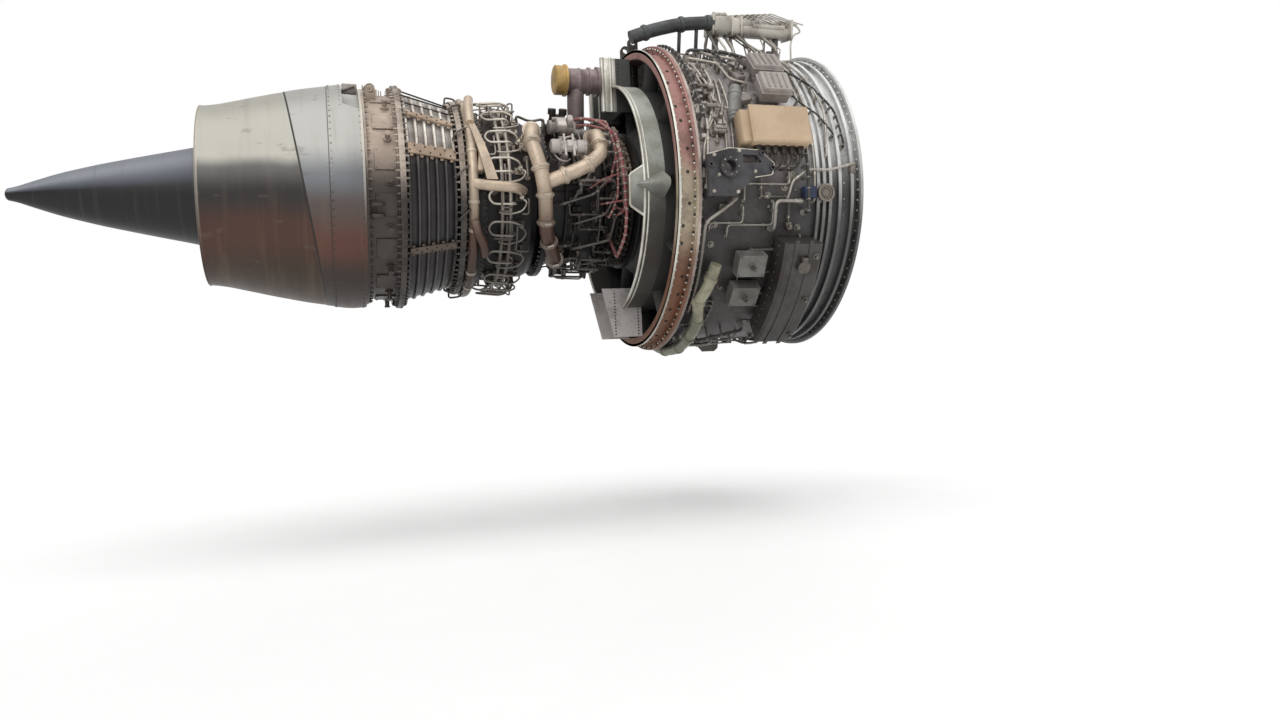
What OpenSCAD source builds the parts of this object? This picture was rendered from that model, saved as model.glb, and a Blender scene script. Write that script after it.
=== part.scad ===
// High-bypass turbofan engine with its cowls off, exhaust nozzle and plug fitted.
// Millimetres. +X forward along the shaft, +Y port, +Z up.
// The origin is the centre of the inlet flange, so every station behind it is negative.
// Clock angles start at the top and turn towards the starboard side (-Y).

/* [Fan case] */
// Inner radius of the fan duct
duct_r = 766; // [760:1:772]
// Wall of the fan case
case_t = 16; // [14:1:20]
// Length of the fan case
fan_case_l = 905; // [890:1:960]
// Height of the inlet flange above the case
inlet_flange_h = 48; // [40:1:60]
// Height of the stiffening hoops
hoop_h = 26; // [15:1:32]
// Width of a stiffening hoop
hoop_w = 8; // [5:1:12]
// Height of the flange between case and frame
case_flange_h = 55; // [45:1:65]
// Thickness of the large flanges
flange_t = 14; // [10:1:18]
// Number of holes in the inlet flange
inlet_holes = 48; // [36:2:60]
// Radius of a hole in the inlet flange
inlet_hole_r = 5; // [3:0.5:6]

/* [Fan frame] */
// Length of the fan frame
frame_l = 95; // [85:1:120]
// Height of the rear flange of the frame
frame_flange_h = 32; // [25:1:40]
// Number of struts
strut_n = 12; // [8:1:14]
// Thickness of a strut
strut_t = 24; // [18:1:30]
// Outer radius of the inner fairing of the fan duct
fairing_r = 620; // [610:1:625]
// Sheet thickness of fairings
sheet_t = 8; // [6:1:10]
// Length of the inner fairing
fairing_l = 110; // [90:1:130]
// Length of the tab on the inner fairing
fairing_tab_l = 75; // [50:1:85]
// Width of a bifurcation
bif_w = 260; // [240:2:280]
// Length of the upper bifurcation behind the frame
bif_l = 158; // [130:1:180]

/* [Fan] */
// Number of fan blades
fan_blades_n = 38; // [30:1:40]
// Running gap at the blade tips
tip_gap = 5; // [3:0.5:8]
// Radius of the fan disk
disk_r = 285; // [270:1:290]
// Distance from the inlet flange to the fan disk
disk_x = 150; // [140:1:170]
// Axial width of the fan disk
disk_w = 150; // [130:1:160]
// How far the spinner reaches ahead of the flange
spinner_reach = 15; // [0:1:40]
// Number of outlet guide vanes
guide_vanes_n = 64; // [50:1:72]

/* [Core] */
// Radius of the front of the compressor case
hpc_r0 = 326; // [320:1:335]
// Radius of the rear of the compressor case
hpc_r1 = 340; // [336:1:350]
// Wall of the core cases
core_t = 10; // [8:1:13]
// Distance from the frame to the compressor case
core_neck_l = 60; // [50:1:70]
// Length of the compressor case
hpc_l = 500; // [490:1:520]
// Radius of the combustor case
comb_r = 412; // [405:1:418]
// Length of the combustor case
comb_l = 330; // [320:1:345]
// Length of the high-pressure turbine case
hpt_l = 100; // [90:1:110]
// Radius of the high-pressure turbine case
hpt_r = 446; // [440:1:450]
// Length of the low-pressure turbine case
lpt_l = 286; // [280:1:300]
// Radius of the front of the low-pressure turbine case
lpt_r0 = 444; // [438:1:450]
// Radius of the rear of the low-pressure turbine case
lpt_r1 = 528; // [520:1:534]
// Height of the flange between turbine case and rear frame
lpt_flange_h = 39; // [32:1:47]
// Radius of a turbine cooling tube
cool_tube_r = 8; // [6:0.5:9]
// Number of turbine cooling tubes
cool_tubes_n = 6; // [5:1:10]
// Length of the turbine rear frame
trf_l = 168; // [160:1:180]
// Radius of the turbine rear frame
trf_r = 516; // [510:1:520]

/* [Exhaust] */
// How far the nozzle's front stands over the turbine rear frame
nozzle_step = 46; // [40:1:52]
// Radius of the nozzle at its rim
nozzle_r1 = 437; // [430:1:450]
// Length of the nozzle
nozzle_l = 736; // [720:2:760]
// Wall of the nozzle
nozzle_t = 6; // [4:1:8]
// Radius of the plug at its front
plug_r0 = 330; // [310:1:345]
// Length of the front plug
plug_front_l = 556; // [540:2:576]
// Length of the rear plug
plug_rear_l = 1040; // [1000:5:1080]

/* [Shafts] */
// Radius of the low-pressure shaft
lp_shaft_r = 50; // [45:1:54]
// Bore of the high-pressure spool
hp_bore_r = 62; // [60:1:66]
// Gap between a shaft and its bearing
bearing_gap = 0.4; // [0.3:0.05:0.8]
// Gap between a rotor and a case
rotor_gap = 5; // [4:0.5:7]

/* [Accessories] */
// Length of the control box along the engine
box_l = 306; // [290:2:320]
// Height of the control box
box_h = 190; // [170:2:210]
// Depth of the control box
box_d = 100; // [80:2:115]
// Radius of the bleed duct
duct_pipe_r = 34; // [28:1:36]
// Gap under a piece that is held on a curved surface
seat_gap = 0.3; // [0.2:0.05:0.5]
// Radius of the trunnion bore in a side bracket
trunnion_r = 30; // [25:1:34]
// Radius of the bores in the rear mount
rear_pin_r = 14; // [10:0.5:16]
// Radius of the bores in the front mount
front_pin_r = 16; // [12:0.5:18]

/* [Hidden] */
$fn = 144;

// Stations along the engine, from front to back
case_r = duct_r + case_t;
x_d = -fan_case_l;
x_c = x_d - frame_l;
x_hpc = x_c - core_neck_l;
x_comb = x_hpc - hpc_l;
x_hpt = x_comb - comb_l;
x_lpt = x_hpt - hpt_l;
x_trf = x_lpt - lpt_l;
x_noz = x_trf - trf_l;
x_rim = x_noz - nozzle_l;
x_plug = x_noz - plug_front_l;
x_tip = x_plug - plug_rear_l;
inlet_r = case_r + inlet_flange_h;
case_flange_r = case_r + case_flange_h;
ring_r = case_r + 18;
ring_flange_r = case_r + frame_flange_h;
core_out_r = 452;
core_in_r = 330;
neck_flange_r = 372;
hub_r = 125;
comb_flange_r = comb_r + 38;
lpt_front_flange_r = 500;
trf_flange_r = trf_r + 29;
lpt_flange_r = max(lpt_r1, trf_r) + lpt_flange_h;
nozzle_r0 = trf_r + nozzle_step;
liner_r = comb_r - core_t - 32;
trf_hub_r = 262;
lug_x = x_noz + 49;
// The hoops share the bay ahead of the equipment, which keeps its distance from the rear flange
kit_bay = 655;
kit_x = x_d + 905;
hoops = [for (f = [0.2, 0.48, 0.7, 0.84, 0.98]) f * (fan_case_l - kit_bay)];
// Shift of the core's equipment, drawn for a compressor case that starts at -1060
core_x = x_hpc + 1060;
splitter_r = 575;
x_vanes = -620;

// Colours
bare = [0.55, 0.54, 0.5];
dark = [0.2, 0.19, 0.18];
tan = [0.78, 0.66, 0.5];
beige = [0.68, 0.62, 0.52];
mauve = [0.6, 0.53, 0.52];
rust = [0.5, 0.3, 0.24];

// A closed profile of [station, radius] points, turned about the shaft axis
module turned(pts) rotate([0, 90, 0]) rotate_extrude() polygon([for (p = pts) [p[1], p[0]]]);
// The same, from clock angle a0 to a1
module turned_arc(pts, a0, a1) rotate([0, 90, 0]) rotate([0, 0, 180 + a0])
    rotate_extrude(angle = a1 - a0) polygon([for (p = pts) [p[1], p[0]]]);
// A plain ring between two stations
module ring(x0, x1, ri, ro) turned([[x0, ri], [x0, ro], [x1, ro], [x1, ri]]);
// Children drawn at a clock angle: local Z points outwards, local X forward
module clock(a) rotate([a, 0, 0]) children();
// A cylinder along the engine
module along(x, l, r) translate([x, 0, 0]) rotate([0, 90, 0]) cylinder(h = l, r = r);
// A two-arc airfoil of chord c and thickness t, from radius r0 to r1
module vane(c, t, r0, r1) {
    k = (c * c + t * t) / (4 * t);
    translate([0, 0, r0]) linear_extrude(r1 - r0) intersection() {
        translate([0, k - t / 2]) circle(r = k, $fn = 720);
        translate([0, t / 2 - k]) circle(r = k, $fn = 720);
    }
}
// A slender vane with a section of flat facets
module thin_vane(c, t, r0, r1) translate([0, 0, r0]) linear_extrude(r1 - r0)
    polygon([for (s = [1, -1]) for (i = [0:7]) let (u = s * (2 * i / 8 - 1)) [c / 2 * u, s * t / 2 * (1 - u * u)]]);
function at(x, a, r) = [x, -r * sin(a), r * cos(a)];
function unit(v) = v / norm(v);
// Splits each leg of a [station, angle, height] route so that no step turns more than 14 degrees
function stepped(q) = [for (i = [0:len(q) - 2]) let (n = max(1, ceil(abs(q[i + 1][1] - q[i][1]) / 14)))
    for (k = [0:n - 1]) q[i] + (q[i + 1] - q[i]) * k / n, q[len(q) - 1]];
// Cuts each corner of a path at distance b
function bent(p, b) = [for (i = [0:len(p) - 1])
    if (i == 0 || i == len(p) - 1) p[i]
    else each [p[i] + unit(p[i - 1] - p[i]) * min(b, norm(p[i - 1] - p[i]) * 0.4),
               p[i] + unit(p[i + 1] - p[i]) * min(b, norm(p[i + 1] - p[i]) * 0.4)]];
function square_to(v, t) = unit(v - (v * t) * t);
function side_of(t) = square_to(abs(t[0]) < 0.8 ? [1, 0, 0] : [0, 0.6, 0.8], t);
function carried(t, i, n, out) = i == len(t) ? out
    : let (m = i == 0 ? n : square_to(n, t[i])) carried(t, i + 1, m, concat(out, [m]));
// A round tube swept along a path
module swept(p, r, sides) {
    n = len(p);
    t = [for (i = [0:n - 1]) unit(p[min(i + 1, n - 1)] - p[max(i - 1, 0)])];
    u = carried(t, 0, side_of(t[0]), []);
    pts = [for (i = [0:n - 1]) for (k = [0:sides - 1])
        p[i] + r * (cos(360 * k / sides) * u[i] - sin(360 * k / sides) * cross(t[i], u[i]))];
    polyhedron(pts, concat([[for (k = [0:sides - 1]) sides - 1 - k]],
        [for (i = [0:n - 2]) for (k = [0:sides - 1])
            each [[i * sides + k, i * sides + (k + 1) % sides, (i + 1) * sides + (k + 1) % sides],
                  [i * sides + k, (i + 1) * sides + (k + 1) % sides, (i + 1) * sides + k]]],
        [[for (k = [0:sides - 1]) (n - 1) * sides + k]]));
}
// Height of the fan case's top at a sideways distance, with the seat gap on it
function case_z(y) = sqrt(case_r * case_r - y * y) + seat_gap;
// Outer radius of the bare core at a station, flanges left aside
core_table = [[x_noz, trf_r], [x_trf - 16, trf_r], [x_trf - 15, lpt_r1], [x_lpt - 14, lpt_r0], [x_lpt + 0.5, hpt_r],
    [x_hpt, hpt_r], [x_hpt + 1, comb_r], [x_comb - 80, comb_r], [x_comb - 50, comb_r - 16],
    [x_comb - 14, hpc_r1], [x_comb, hpc_r1],
    [x_hpc, hpc_r0], [x_c, fairing_r]];
function core_r(x) = lookup(x, core_table);
// Height at which a flat base of half-width w clears the core at a station
function core_seat(x, w) = core_r(x - w) + seat_gap;
// A pipe along a route of [station, clock angle, height over the case] points
module fan_pipe(route, r) translate([kit_x, 0, 0])
    swept(bent([for (q = stepped(route)) at(q[0], q[1], case_r + q[2])], 4 * r), r, 6);
function core_at(x, a, h) = at(x + core_x, a, core_r(x + core_x) + h);
module core_pipe(route, r) swept(bent([for (q = stepped(route)) core_at(q[0], q[1], q[2])], 4 * r), r, 6);
// A clip that holds a pipe of radius r at height h over a surface of radius base
module clip(x, a, base, h, r) clock(a) translate([x, 0, base]) hull() {
    translate([-7, 0, h]) rotate([0, 90, 0]) cylinder(h = 14, r = r + 3, $fn = 6);
    translate([-7, -6, seat_gap]) cube([14, 12, 2]);
}

// Fan case: a turned shell with an inlet flange, stiffening hoops and a rear flange
module fan_case() color(bare) difference() {
    turned(concat([[0, duct_r + 4], [0, inlet_r], [-flange_t, inlet_r], [-flange_t, case_r]],
        [for (h = hoops) each [[-h + hoop_w / 2, case_r], [-h + hoop_w / 2, case_r + hoop_h],
                               [-h - hoop_w / 2, case_r + hoop_h], [-h - hoop_w / 2, case_r]]],
        [[x_d + flange_t, case_r], [x_d + flange_t, case_flange_r], [x_d, case_flange_r], [x_d, duct_r],
         [-60, duct_r]]));
    for (i = [0:inlet_holes - 1]) clock(360 * i / inlet_holes)
        translate([0, 0, inlet_r - 14]) along(-flange_t - 1, flange_t + 2, inlet_hole_r);
}
// Fan frame: outer ring, fan duct wall, core walls, hub and radial struts in one casting
module fan_frame() color(rust) difference() {
    union() {
        turned([[x_d, duct_r], [x_d, case_flange_r], [x_d - flange_t, case_flange_r], [x_d - flange_t, ring_r],
            [x_c + 12, ring_r], [x_c + 12, ring_flange_r], [x_c, ring_flange_r], [x_c, duct_r]]);
        ring(x_c, x_d, fairing_r - 12, fairing_r);
        turned([[x_d, core_out_r - 12], [x_d, core_out_r], [x_hpc + 12, hpc_r0 + 8], [x_hpc + 12, neck_flange_r],
            [x_hpc, neck_flange_r], [x_hpc, hpc_r0 - 12]]);
        turned([[x_d, core_in_r - 12], [x_d, core_in_r], [x_hpc, 216], [x_hpc, 204]]);
        ring(x_c, x_d, hub_r - 25, hub_r);
        for (i = [0:strut_n - 1]) clock(360 * i / strut_n) translate([(x_c + x_d) / 2, 0, 0])
            vane(frame_l - 10, strut_t, hub_r - 8, duct_r + 8);
    }
}
// Outlet guide vanes between the splitter and the fan case
module guide_vanes() color(bare) for (i = [0:guide_vanes_n - 1]) clock(360 * (i + 0.5) / guide_vanes_n)
    translate([x_vanes, 0, 0]) rotate([0, 0, 12]) thin_vane(72, 7, splitter_r + seat_gap, duct_r - seat_gap);
// Splitter and booster case: outer skin, inner skin and two stator rings behind the lip
function core_wall(x) = lookup(x, [[x_d, core_out_r - 12], [-350, 480]]);
module booster_case() color(bare) {
    turned([[-330, 500], [-420, 548], [-545, splitter_r], [-700, splitter_r], [x_d, fairing_r],
        [x_d, fairing_r - sheet_t], [-700, splitter_r - sheet_t], [-545, splitter_r - sheet_t], [-424, 539],
        [-350, 500], [-350, 492], [x_d, core_out_r], [x_d, core_out_r - 12], [-350, 480]]);
    for (x = [-440, -545, -650]) ring(x - 25, x, 320, core_wall(x) + 4);
}
// Inner fairing of the fan duct, with the tab and the pointed side fairing on it
module inner_fairing() color([0.62, 0.64, 0.58]) difference() {
    union() {
        turned([[x_c, fairing_r - sheet_t], [x_c, fairing_r], [x_c - fairing_l + 12, fairing_r],
            [x_c - fairing_l + 12, fairing_r + 6], [x_c - fairing_l, fairing_r + 6],
            [x_c - fairing_l, fairing_r - sheet_t]]);
        for (a = [85, 254]) turned_arc([[x_c - fairing_l + 6, fairing_r - 6], [x_c - fairing_l + 6, fairing_r - 1],
            [x_c - fairing_l - fairing_tab_l, fairing_r - 1], [x_c - fairing_l - fairing_tab_l, fairing_r - 6]],
            a, a + 21);
        for (a = [93, 267]) clock(a) translate([x_c - 151, 0, fairing_r - 4]) intersection() {
            linear_extrude(140) polygon([[0, 0], [136, -48], [136, 48]]);
            rotate([90, 0, 0]) translate([0, 0, -60]) linear_extrude(120)
                polygon([[0, 0], [136, 0], [136, 126], [0, 40]]);
        }
    }
    for (s = [0, 180]) clock(s) translate([x_c - fairing_l - 1, -bif_w / 2 - 1, fairing_r - 60])
        cube([fairing_l + 2, bif_w + 2, 90]);
}
// A bifurcation: two side walls with rounded rear edges, joined by a floor
module bifurcation(l, r0, r1, slant) {
    for (s = [-1, 1]) translate([0, s * (bif_w / 2 - 6), 0]) {
        rotate([90, 0, 0]) translate([0, 0, -5]) linear_extrude(10)
            polygon([[x_c, r0], [x_c, r1], [x_c - l + slant, r1], [x_c - l, r0]]);
        if (slant == 0) translate([x_c - l, 0, r0]) cylinder(h = r1 - r0, r = 11);
    }
    translate([x_c - 40, -bif_w / 2 + 11, r0 + 20]) cube([10, bif_w - 22, r1 - r0 - 40]);
}
module upper_bifurcation() color([0.6, 0.62, 0.58]) bifurcation(bif_l, 470, duct_r - 2, 0);
module lower_bifurcation() color([0.6, 0.62, 0.58]) clock(180) bifurcation(bif_l + 60, 500, duct_r - 2, 60);

// High-pressure compressor case: a turned shell with flanges, ribs and stator rings
stage_l = (hpc_l - 20) / 9;
drum_r = 232;
module hpc_case() color(bare) turned(concat(
    [[x_hpc, hpc_r0 - core_t], [x_hpc, neck_flange_r], [x_hpc - 12, neck_flange_r], [x_hpc - 12, hpc_r0]],
    [for (f = [0.2, 0.34, 0.66, 0.76]) let (x = x_hpc - hpc_l * f, r = core_r(x), h = f == 0.34 ? 34 : 16)
        each [[x, r], [x, r + h], [x - 10, r + h], [x - 10, r]]],
    [[x_comb + 12, hpc_r1], [x_comb + 12, comb_flange_r - 40], [x_comb, comb_flange_r - 40],
     [x_comb, hpc_r1 - core_t]],
    [for (i = [8:-1:1]) let (x = x_hpc - 10 - stage_l * i, r = core_r(x) - core_t)
        each [[x - 9, r], [x - 9, drum_r + rotor_gap + i * 6], [x + 9, drum_r + rotor_gap + i * 6], [x + 9, r]]]));
// Combustor case: domed front, turned shell and two flanges
module combustor_case() color(bare) turned([[x_comb, hpc_r1 - core_t], [x_comb, comb_flange_r - 40],
    [x_comb - 14, comb_flange_r - 40], [x_comb - 14, hpc_r1], [x_comb - 50, comb_r - 16], [x_comb - 80, comb_r],
    [x_hpt + 14, comb_r], [x_hpt + 14, comb_flange_r], [x_hpt, comb_flange_r], [x_hpt, comb_r - core_t],
    [x_comb - 80, comb_r - core_t], [x_comb - 56, comb_r - 28], [x_comb - 22, hpc_r1 - 3], [x_comb - 10, hpc_r1 - core_t]]);
// Combustor liner: an annular pot with a dome, open at the turbine
liner_w = 100;
liner_l = 262;
module combustor_liner() color([0.5, 0.42, 0.34]) translate([x_hpt, 0, 0]) turned([[0, liner_r - liner_w],
    [liner_l - 22, liner_r - liner_w], [liner_l, liner_r - liner_w + 20], [liner_l, liner_r - 20],
    [liner_l - 22, liner_r], [0, liner_r], [0, liner_r - 6], [liner_l - 24, liner_r - 6],
    [liner_l - 6, liner_r - 23], [liner_l - 6, liner_r - liner_w + 23], [liner_l - 24, liner_r - liner_w + 6],
    [0, liner_r - liner_w + 6]]);
x_inj = x_comb - 140;
inj_n = 20;
// Fuel nozzles: a flanged head on the case and a manifold inlet fitting
module fuel_nozzles() color([0.7, 0.66, 0.58]) for (i = [0:inj_n - 1]) clock(360 * (i + 0.5) / inj_n) {
    translate([x_inj - 22, -17, comb_r + seat_gap]) cube([44, 34, 9]);
    translate([x_inj, 0, comb_r + 9]) cylinder(h = 30, r = 10);
    translate([x_inj, 0, comb_r + 38]) cylinder(h = 12, r = 13, $fn = 6);
}
// Fuel manifold: two rings with a looped pigtail down to each nozzle
man_r = comb_r + 62;
man_tube_r = 9;
module fuel_manifold() color([0.7, 0.68, 0.62]) {
    for (x = [x_inj - 55, x_inj - 95]) rotate([0, 90, 0]) translate([0, 0, x]) rotate_extrude()
        translate([man_r - 14, 0]) circle(r = man_tube_r);
    for (i = [0:inj_n - 1]) clock(360 * (i + 0.5) / inj_n) {
        swept([[x_inj - 95, 0, man_r - 14 + man_tube_r + seat_gap], [x_inj - 90, 0, man_r + 22],
            [x_inj - 45, 0, man_r + 34], [x_inj, 0, man_r + 12], [x_inj, 0, comb_r + 50 + seat_gap]], 7, 6);
        if (i % 2 == 0) for (x = [x_inj - 62, x_inj - 102]) translate([x, -8, comb_r + seat_gap])
            cube([14, 16, man_r - 14 - man_tube_r - comb_r - 2 * seat_gap]);
    }
}
// High-pressure turbine case with its nozzle ring
module hpt_case() color(bare) turned([[x_hpt, 300], [x_hpt, comb_flange_r], [x_hpt - 14, comb_flange_r],
    [x_hpt - 14, hpt_r], [x_lpt + 14, hpt_r], [x_lpt + 14, lpt_front_flange_r], [x_lpt, lpt_front_flange_r],
    [x_lpt, hpt_r - 20], [x_hpt - 24, hpt_r - 20], [x_hpt - 24, 300]]);
// Ring manifold round the high-pressure turbine, with its feed arm
man_pipe_r = 24;
module turbine_manifold() color(beige) {
    rotate([0, 90, 0]) translate([0, 0, x_hpt - 50]) rotate_extrude()
        translate([hpt_r + man_pipe_r + 22, 0]) circle(r = man_pipe_r);
    for (i = [0:7]) clock(45 * i + 20) translate([x_hpt - 50, 0, hpt_r + seat_gap]) cylinder(h = 32, r = 12);
}
// Low-pressure turbine case: a turned cone with flanges and three nozzle rings inside
function lpt_case_r(x) = lookup(x, [[x_trf + 14, lpt_r1], [x_lpt - 14, lpt_r0]]);
lpt_pitch = (lpt_l - 30) / 4;
module lpt_case() color(bare) turned(concat([[x_lpt, lpt_r0 - 12], [x_lpt, lpt_front_flange_r],
    [x_lpt - 14, lpt_front_flange_r], [x_lpt - 14, lpt_r0], [x_trf + 14, lpt_r1], [x_trf + 14, lpt_flange_r],
    [x_trf, lpt_flange_r], [x_trf, lpt_r1 - 12]],
    [for (i = [3:-1:1]) let (x = x_lpt - 14 - lpt_pitch * i, r = lpt_case_r(x) - 12)
        each [[x - 8, r], [x - 8, 262], [x + 8, 262], [x + 8, r]]]));
// Cooling tubes hugging the turbine cone
cool_pitch = (lpt_l - 62) / (cool_tubes_n - 1);
rail_tilt = atan((lpt_r1 - lpt_r0) / (lpt_l - 28));
cool_h = (cool_tube_r + seat_gap) / cos(rail_tilt);
module lpt_cooling_tubes() color([0.5, 0.46, 0.4]) for (i = [0:cool_tubes_n - 1])
    rotate([0, 90, 0]) translate([0, 0, x_lpt - 31 - cool_pitch * i]) rotate_extrude()
        translate([lpt_case_r(x_lpt - 31 - cool_pitch * i) + cool_h, 0]) circle(r = cool_tube_r);
// Axial rails that feed the cooling tubes
module cooling_rails() color(beige) for (a = [52, 75, -52, -75, 128, -128]) clock(a)
    translate([x_lpt - 24, 0, lpt_case_r(x_lpt - 24) + 2 * cool_h]) rotate([0, rail_tilt, 0])
        translate([-lpt_l + 52, -9, 0]) cube([lpt_l - 54, 18, 18]);
// Turbine rear frame: outer ring, struts, hub and the lugs for handling and mounting
module turbine_frame() color([0.56, 0.48, 0.42]) difference() {
    union() {
        turned([[x_trf, trf_r - 12], [x_trf, lpt_flange_r], [x_trf - 14, lpt_flange_r], [x_trf - 14, trf_r],
            [x_noz + 12, trf_r], [x_noz + 12, trf_flange_r], [x_noz, trf_flange_r], [x_noz, trf_r - 12]]);
        turned([[x_trf, trf_hub_r - 12], [x_trf, trf_hub_r], [x_noz, plug_r0 - 20], [x_noz, plug_r0 - 40],
            [x_noz + 20, trf_hub_r - 12]]);
        ring(x_noz + 30, x_trf - 8, hub_r - 30, hub_r);
        for (i = [0:11]) clock(30 * i + 15) translate([(x_trf + x_noz) / 2, 0, 0])
            vane(trf_l - 28, 20, hub_r - 8, trf_r - 6);
        for (a = [106, -106]) clock(a) for (s = [-1, 1]) translate([lug_x, s * 26 - 7, trf_r - 20])
            rotate([-90, 0, 0]) translate([0, -52, 0]) cylinder(h = 14, r = 34);
        for (a = [-30, 0, 30]) clock(a) for (s = [-1, 1]) translate([lug_x, s * 26 - 7, trf_r])
            rotate([-90, 0, 0]) linear_extrude(14) union() {
                translate([0, -44]) circle(r = 24);
                translate([-24, -44]) square([48, 54]);
            }
    }
    for (a = [106, -106]) clock(a) translate([lug_x, -50, trf_r + 32])
        rotate([-90, 0, 0]) cylinder(h = 100, r = 12);
    for (a = [-30, 0, 30]) clock(a) translate([lug_x, -50, trf_r + 44])
        rotate([-90, 0, 0]) cylinder(h = 100, r = rear_pin_r);
}
// Exhaust nozzle: a turned skin with a cut-out for the rear mount, on an inner sleeve
notch_l = 88;
module exhaust_nozzle() color([0.6, 0.54, 0.46]) {
    skin = [[x_noz, nozzle_r0 - 4], [x_noz - 40, nozzle_r0 + 2], [x_noz - 86, nozzle_r0 + 2],
        [x_noz - 286, nozzle_r0 - 30], [x_noz - 436, nozzle_r0 - 62], [x_rim + 70, nozzle_r1 + 8], [x_rim, nozzle_r1]];
    difference() {
        turned(concat(skin, [for (i = [len(skin) - 1:-1:0]) skin[i] - [0, nozzle_t]]));
        turned_arc([[x_noz + 1, trf_r + 14], [x_noz + 1, nozzle_r0 + 20], [x_noz - notch_l, nozzle_r0 + 20],
            [x_noz - notch_l, trf_r + 14]], -50, 50);
    }
    turned([[x_noz, trf_r - 8], [x_noz, trf_flange_r], [x_noz - 10, trf_flange_r], [x_noz - 10, trf_r - 2],
        [x_noz - 120, trf_r + 6], [x_noz - 175, nozzle_r0 - 15], [x_noz - 190, nozzle_r0 - 18],
        [x_noz - 130, trf_r]]);
}
// Plug: a front body bolted to the turbine frame and a long cone behind it
module plug_front() color([0.3, 0.3, 0.32]) turned([[x_noz, plug_r0 - 44], [x_noz, plug_r0 - 16],
    [x_noz - 60, plug_r0 + 4], [x_noz - 180, plug_r0 + 14], [x_noz - 320, plug_r0 + 6],
    [x_noz - 460, plug_r0 - 18], [x_plug, 294], [x_plug, 262], [x_plug + 8, 262], [x_plug + 8, 288],
    [x_noz - 458, plug_r0 - 26], [x_noz - 320, plug_r0 - 2], [x_noz - 180, plug_r0 + 6],
    [x_noz - 62, plug_r0 - 4], [x_noz - 8, plug_r0 - 22], [x_noz - 8, plug_r0 - 44]]);
module plug_rear() color([0.16, 0.18, 0.22]) turned([[x_plug, 262], [x_plug, 294], [x_plug - 220, 236],
    [x_plug - 450, 188], [x_plug - 640, 146], [x_plug - 810, 101], [x_plug - 970, 45], [x_tip + 20, 26],
    [x_tip + 5, 14], [x_tip, 0], [x_tip + 12, 0], [x_plug - 966, 36], [x_plug - 808, 93], [x_plug - 638, 138],
    [x_plug - 448, 180], [x_plug - 218, 228], [x_plug - 8, 285], [x_plug - 8, 262]]);

// Front mount: a saddle on the frame with two bored lugs
mount_x = (x_c + x_d - flange_t + 2) / 2;
module front_mount() color([0.45, 0.44, 0.42]) difference() {
    union() {
        turned_arc([[x_c + 14, ring_r + seat_gap], [x_c + 14, ring_r + 24], [x_d - flange_t - 12, ring_r + 24],
            [x_d - flange_t - 12, ring_r + seat_gap]], -10, 10);
        for (s = [-1, 1]) translate([mount_x, s * 70 - 13, ring_r]) rotate([-90, 0, 0])
            linear_extrude(26) union() {
                translate([0, -78]) circle(r = 27);
                translate([-27, -78]) square([54, 66]);
            }
    }
    translate([mount_x, -100, ring_r + 78]) rotate([-90, 0, 0])
        cylinder(h = 200, r = front_pin_r);
}
// Anti-ice duct over the top of the fan case, with its stand-offs
ice_a = 14;
ice_r = 36;
module anti_ice_duct() color([0.3, 0.3, 0.29]) {
    swept(bent([for (q = [[x_c - 15, 880], [x_d + 10, 925], [x_d + 170, 968], [x_d + 330, 985], [kit_x - 541, 985]])
        at(q[0], ice_a, q[1] + case_r - 782)], 60), ice_r, 10);
    clock(ice_a) for (q = [[-640, 951], [-740, 940]]) translate([q[0] + kit_x, -15, case_r + seat_gap])
        cube([12, 30, q[1] - 782]);
}
// Anti-ice valve: flanged body, forward duct box and the actuator on top
module anti_ice_valve() color(beige) clock(ice_a - 2) translate([kit_x, 0, case_r - 782]) {
    translate([-540, -70, 920]) cube([110, 140, 120]);
    translate([-430, -62, 925]) cube([60, 124, 95]);
    translate([-370, -50, 925]) cube([310, 100, 62]);
    translate([-410, 0, 1000]) along(0, 150, 30);
    translate([-250, 0, 995]) along(0, 90, 22);
    translate([-180, -28, 986]) cube([70, 56, 34]);
    for (x = [-520, -150]) translate([x, -20, 782 + (x > -260 ? hoop_h : 0) + seat_gap])
        cube([24, 40, 145 - (x > -260 ? hoop_h : 0)]);
}
// Control box: a lidded box on four posts
box_x = kit_x - 345;
box_a = 77;
box_r = 850;
module control_box() color(tan) clock(box_a) {
    translate([box_x - box_l, -box_h / 2, box_r]) cube([box_l, box_h, box_d]);
    translate([box_x - box_l - 8, -box_h / 2 - 4, box_r + box_d - 14]) cube([box_l + 12, box_h + 8, 10]);
    for (x = [26, box_l - 26]) for (y = [-60, 60]) translate([box_x - x, y, case_z(abs(y) - 12)])
        cylinder(h = box_r - case_z(abs(y) - 12), r = 12);
}
// Two small electronic boxes on short feet
module electronic_boxes() color(mauve) for (b = [[-375, 155, 60, 126, 838, 92], [-352, 158, 46.5, 130, 832, 72]])
    clock(b[2]) {
        translate([kit_x + b[0] - b[1], -b[3] / 2, b[4]]) cube([b[1], b[3], b[5]]);
        for (x = [20, b[1] - 20]) translate([kit_x + b[0] - x, 0, case_r + seat_gap])
            cylinder(h = b[4] - case_r - seat_gap, r = 9);
    }
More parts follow.
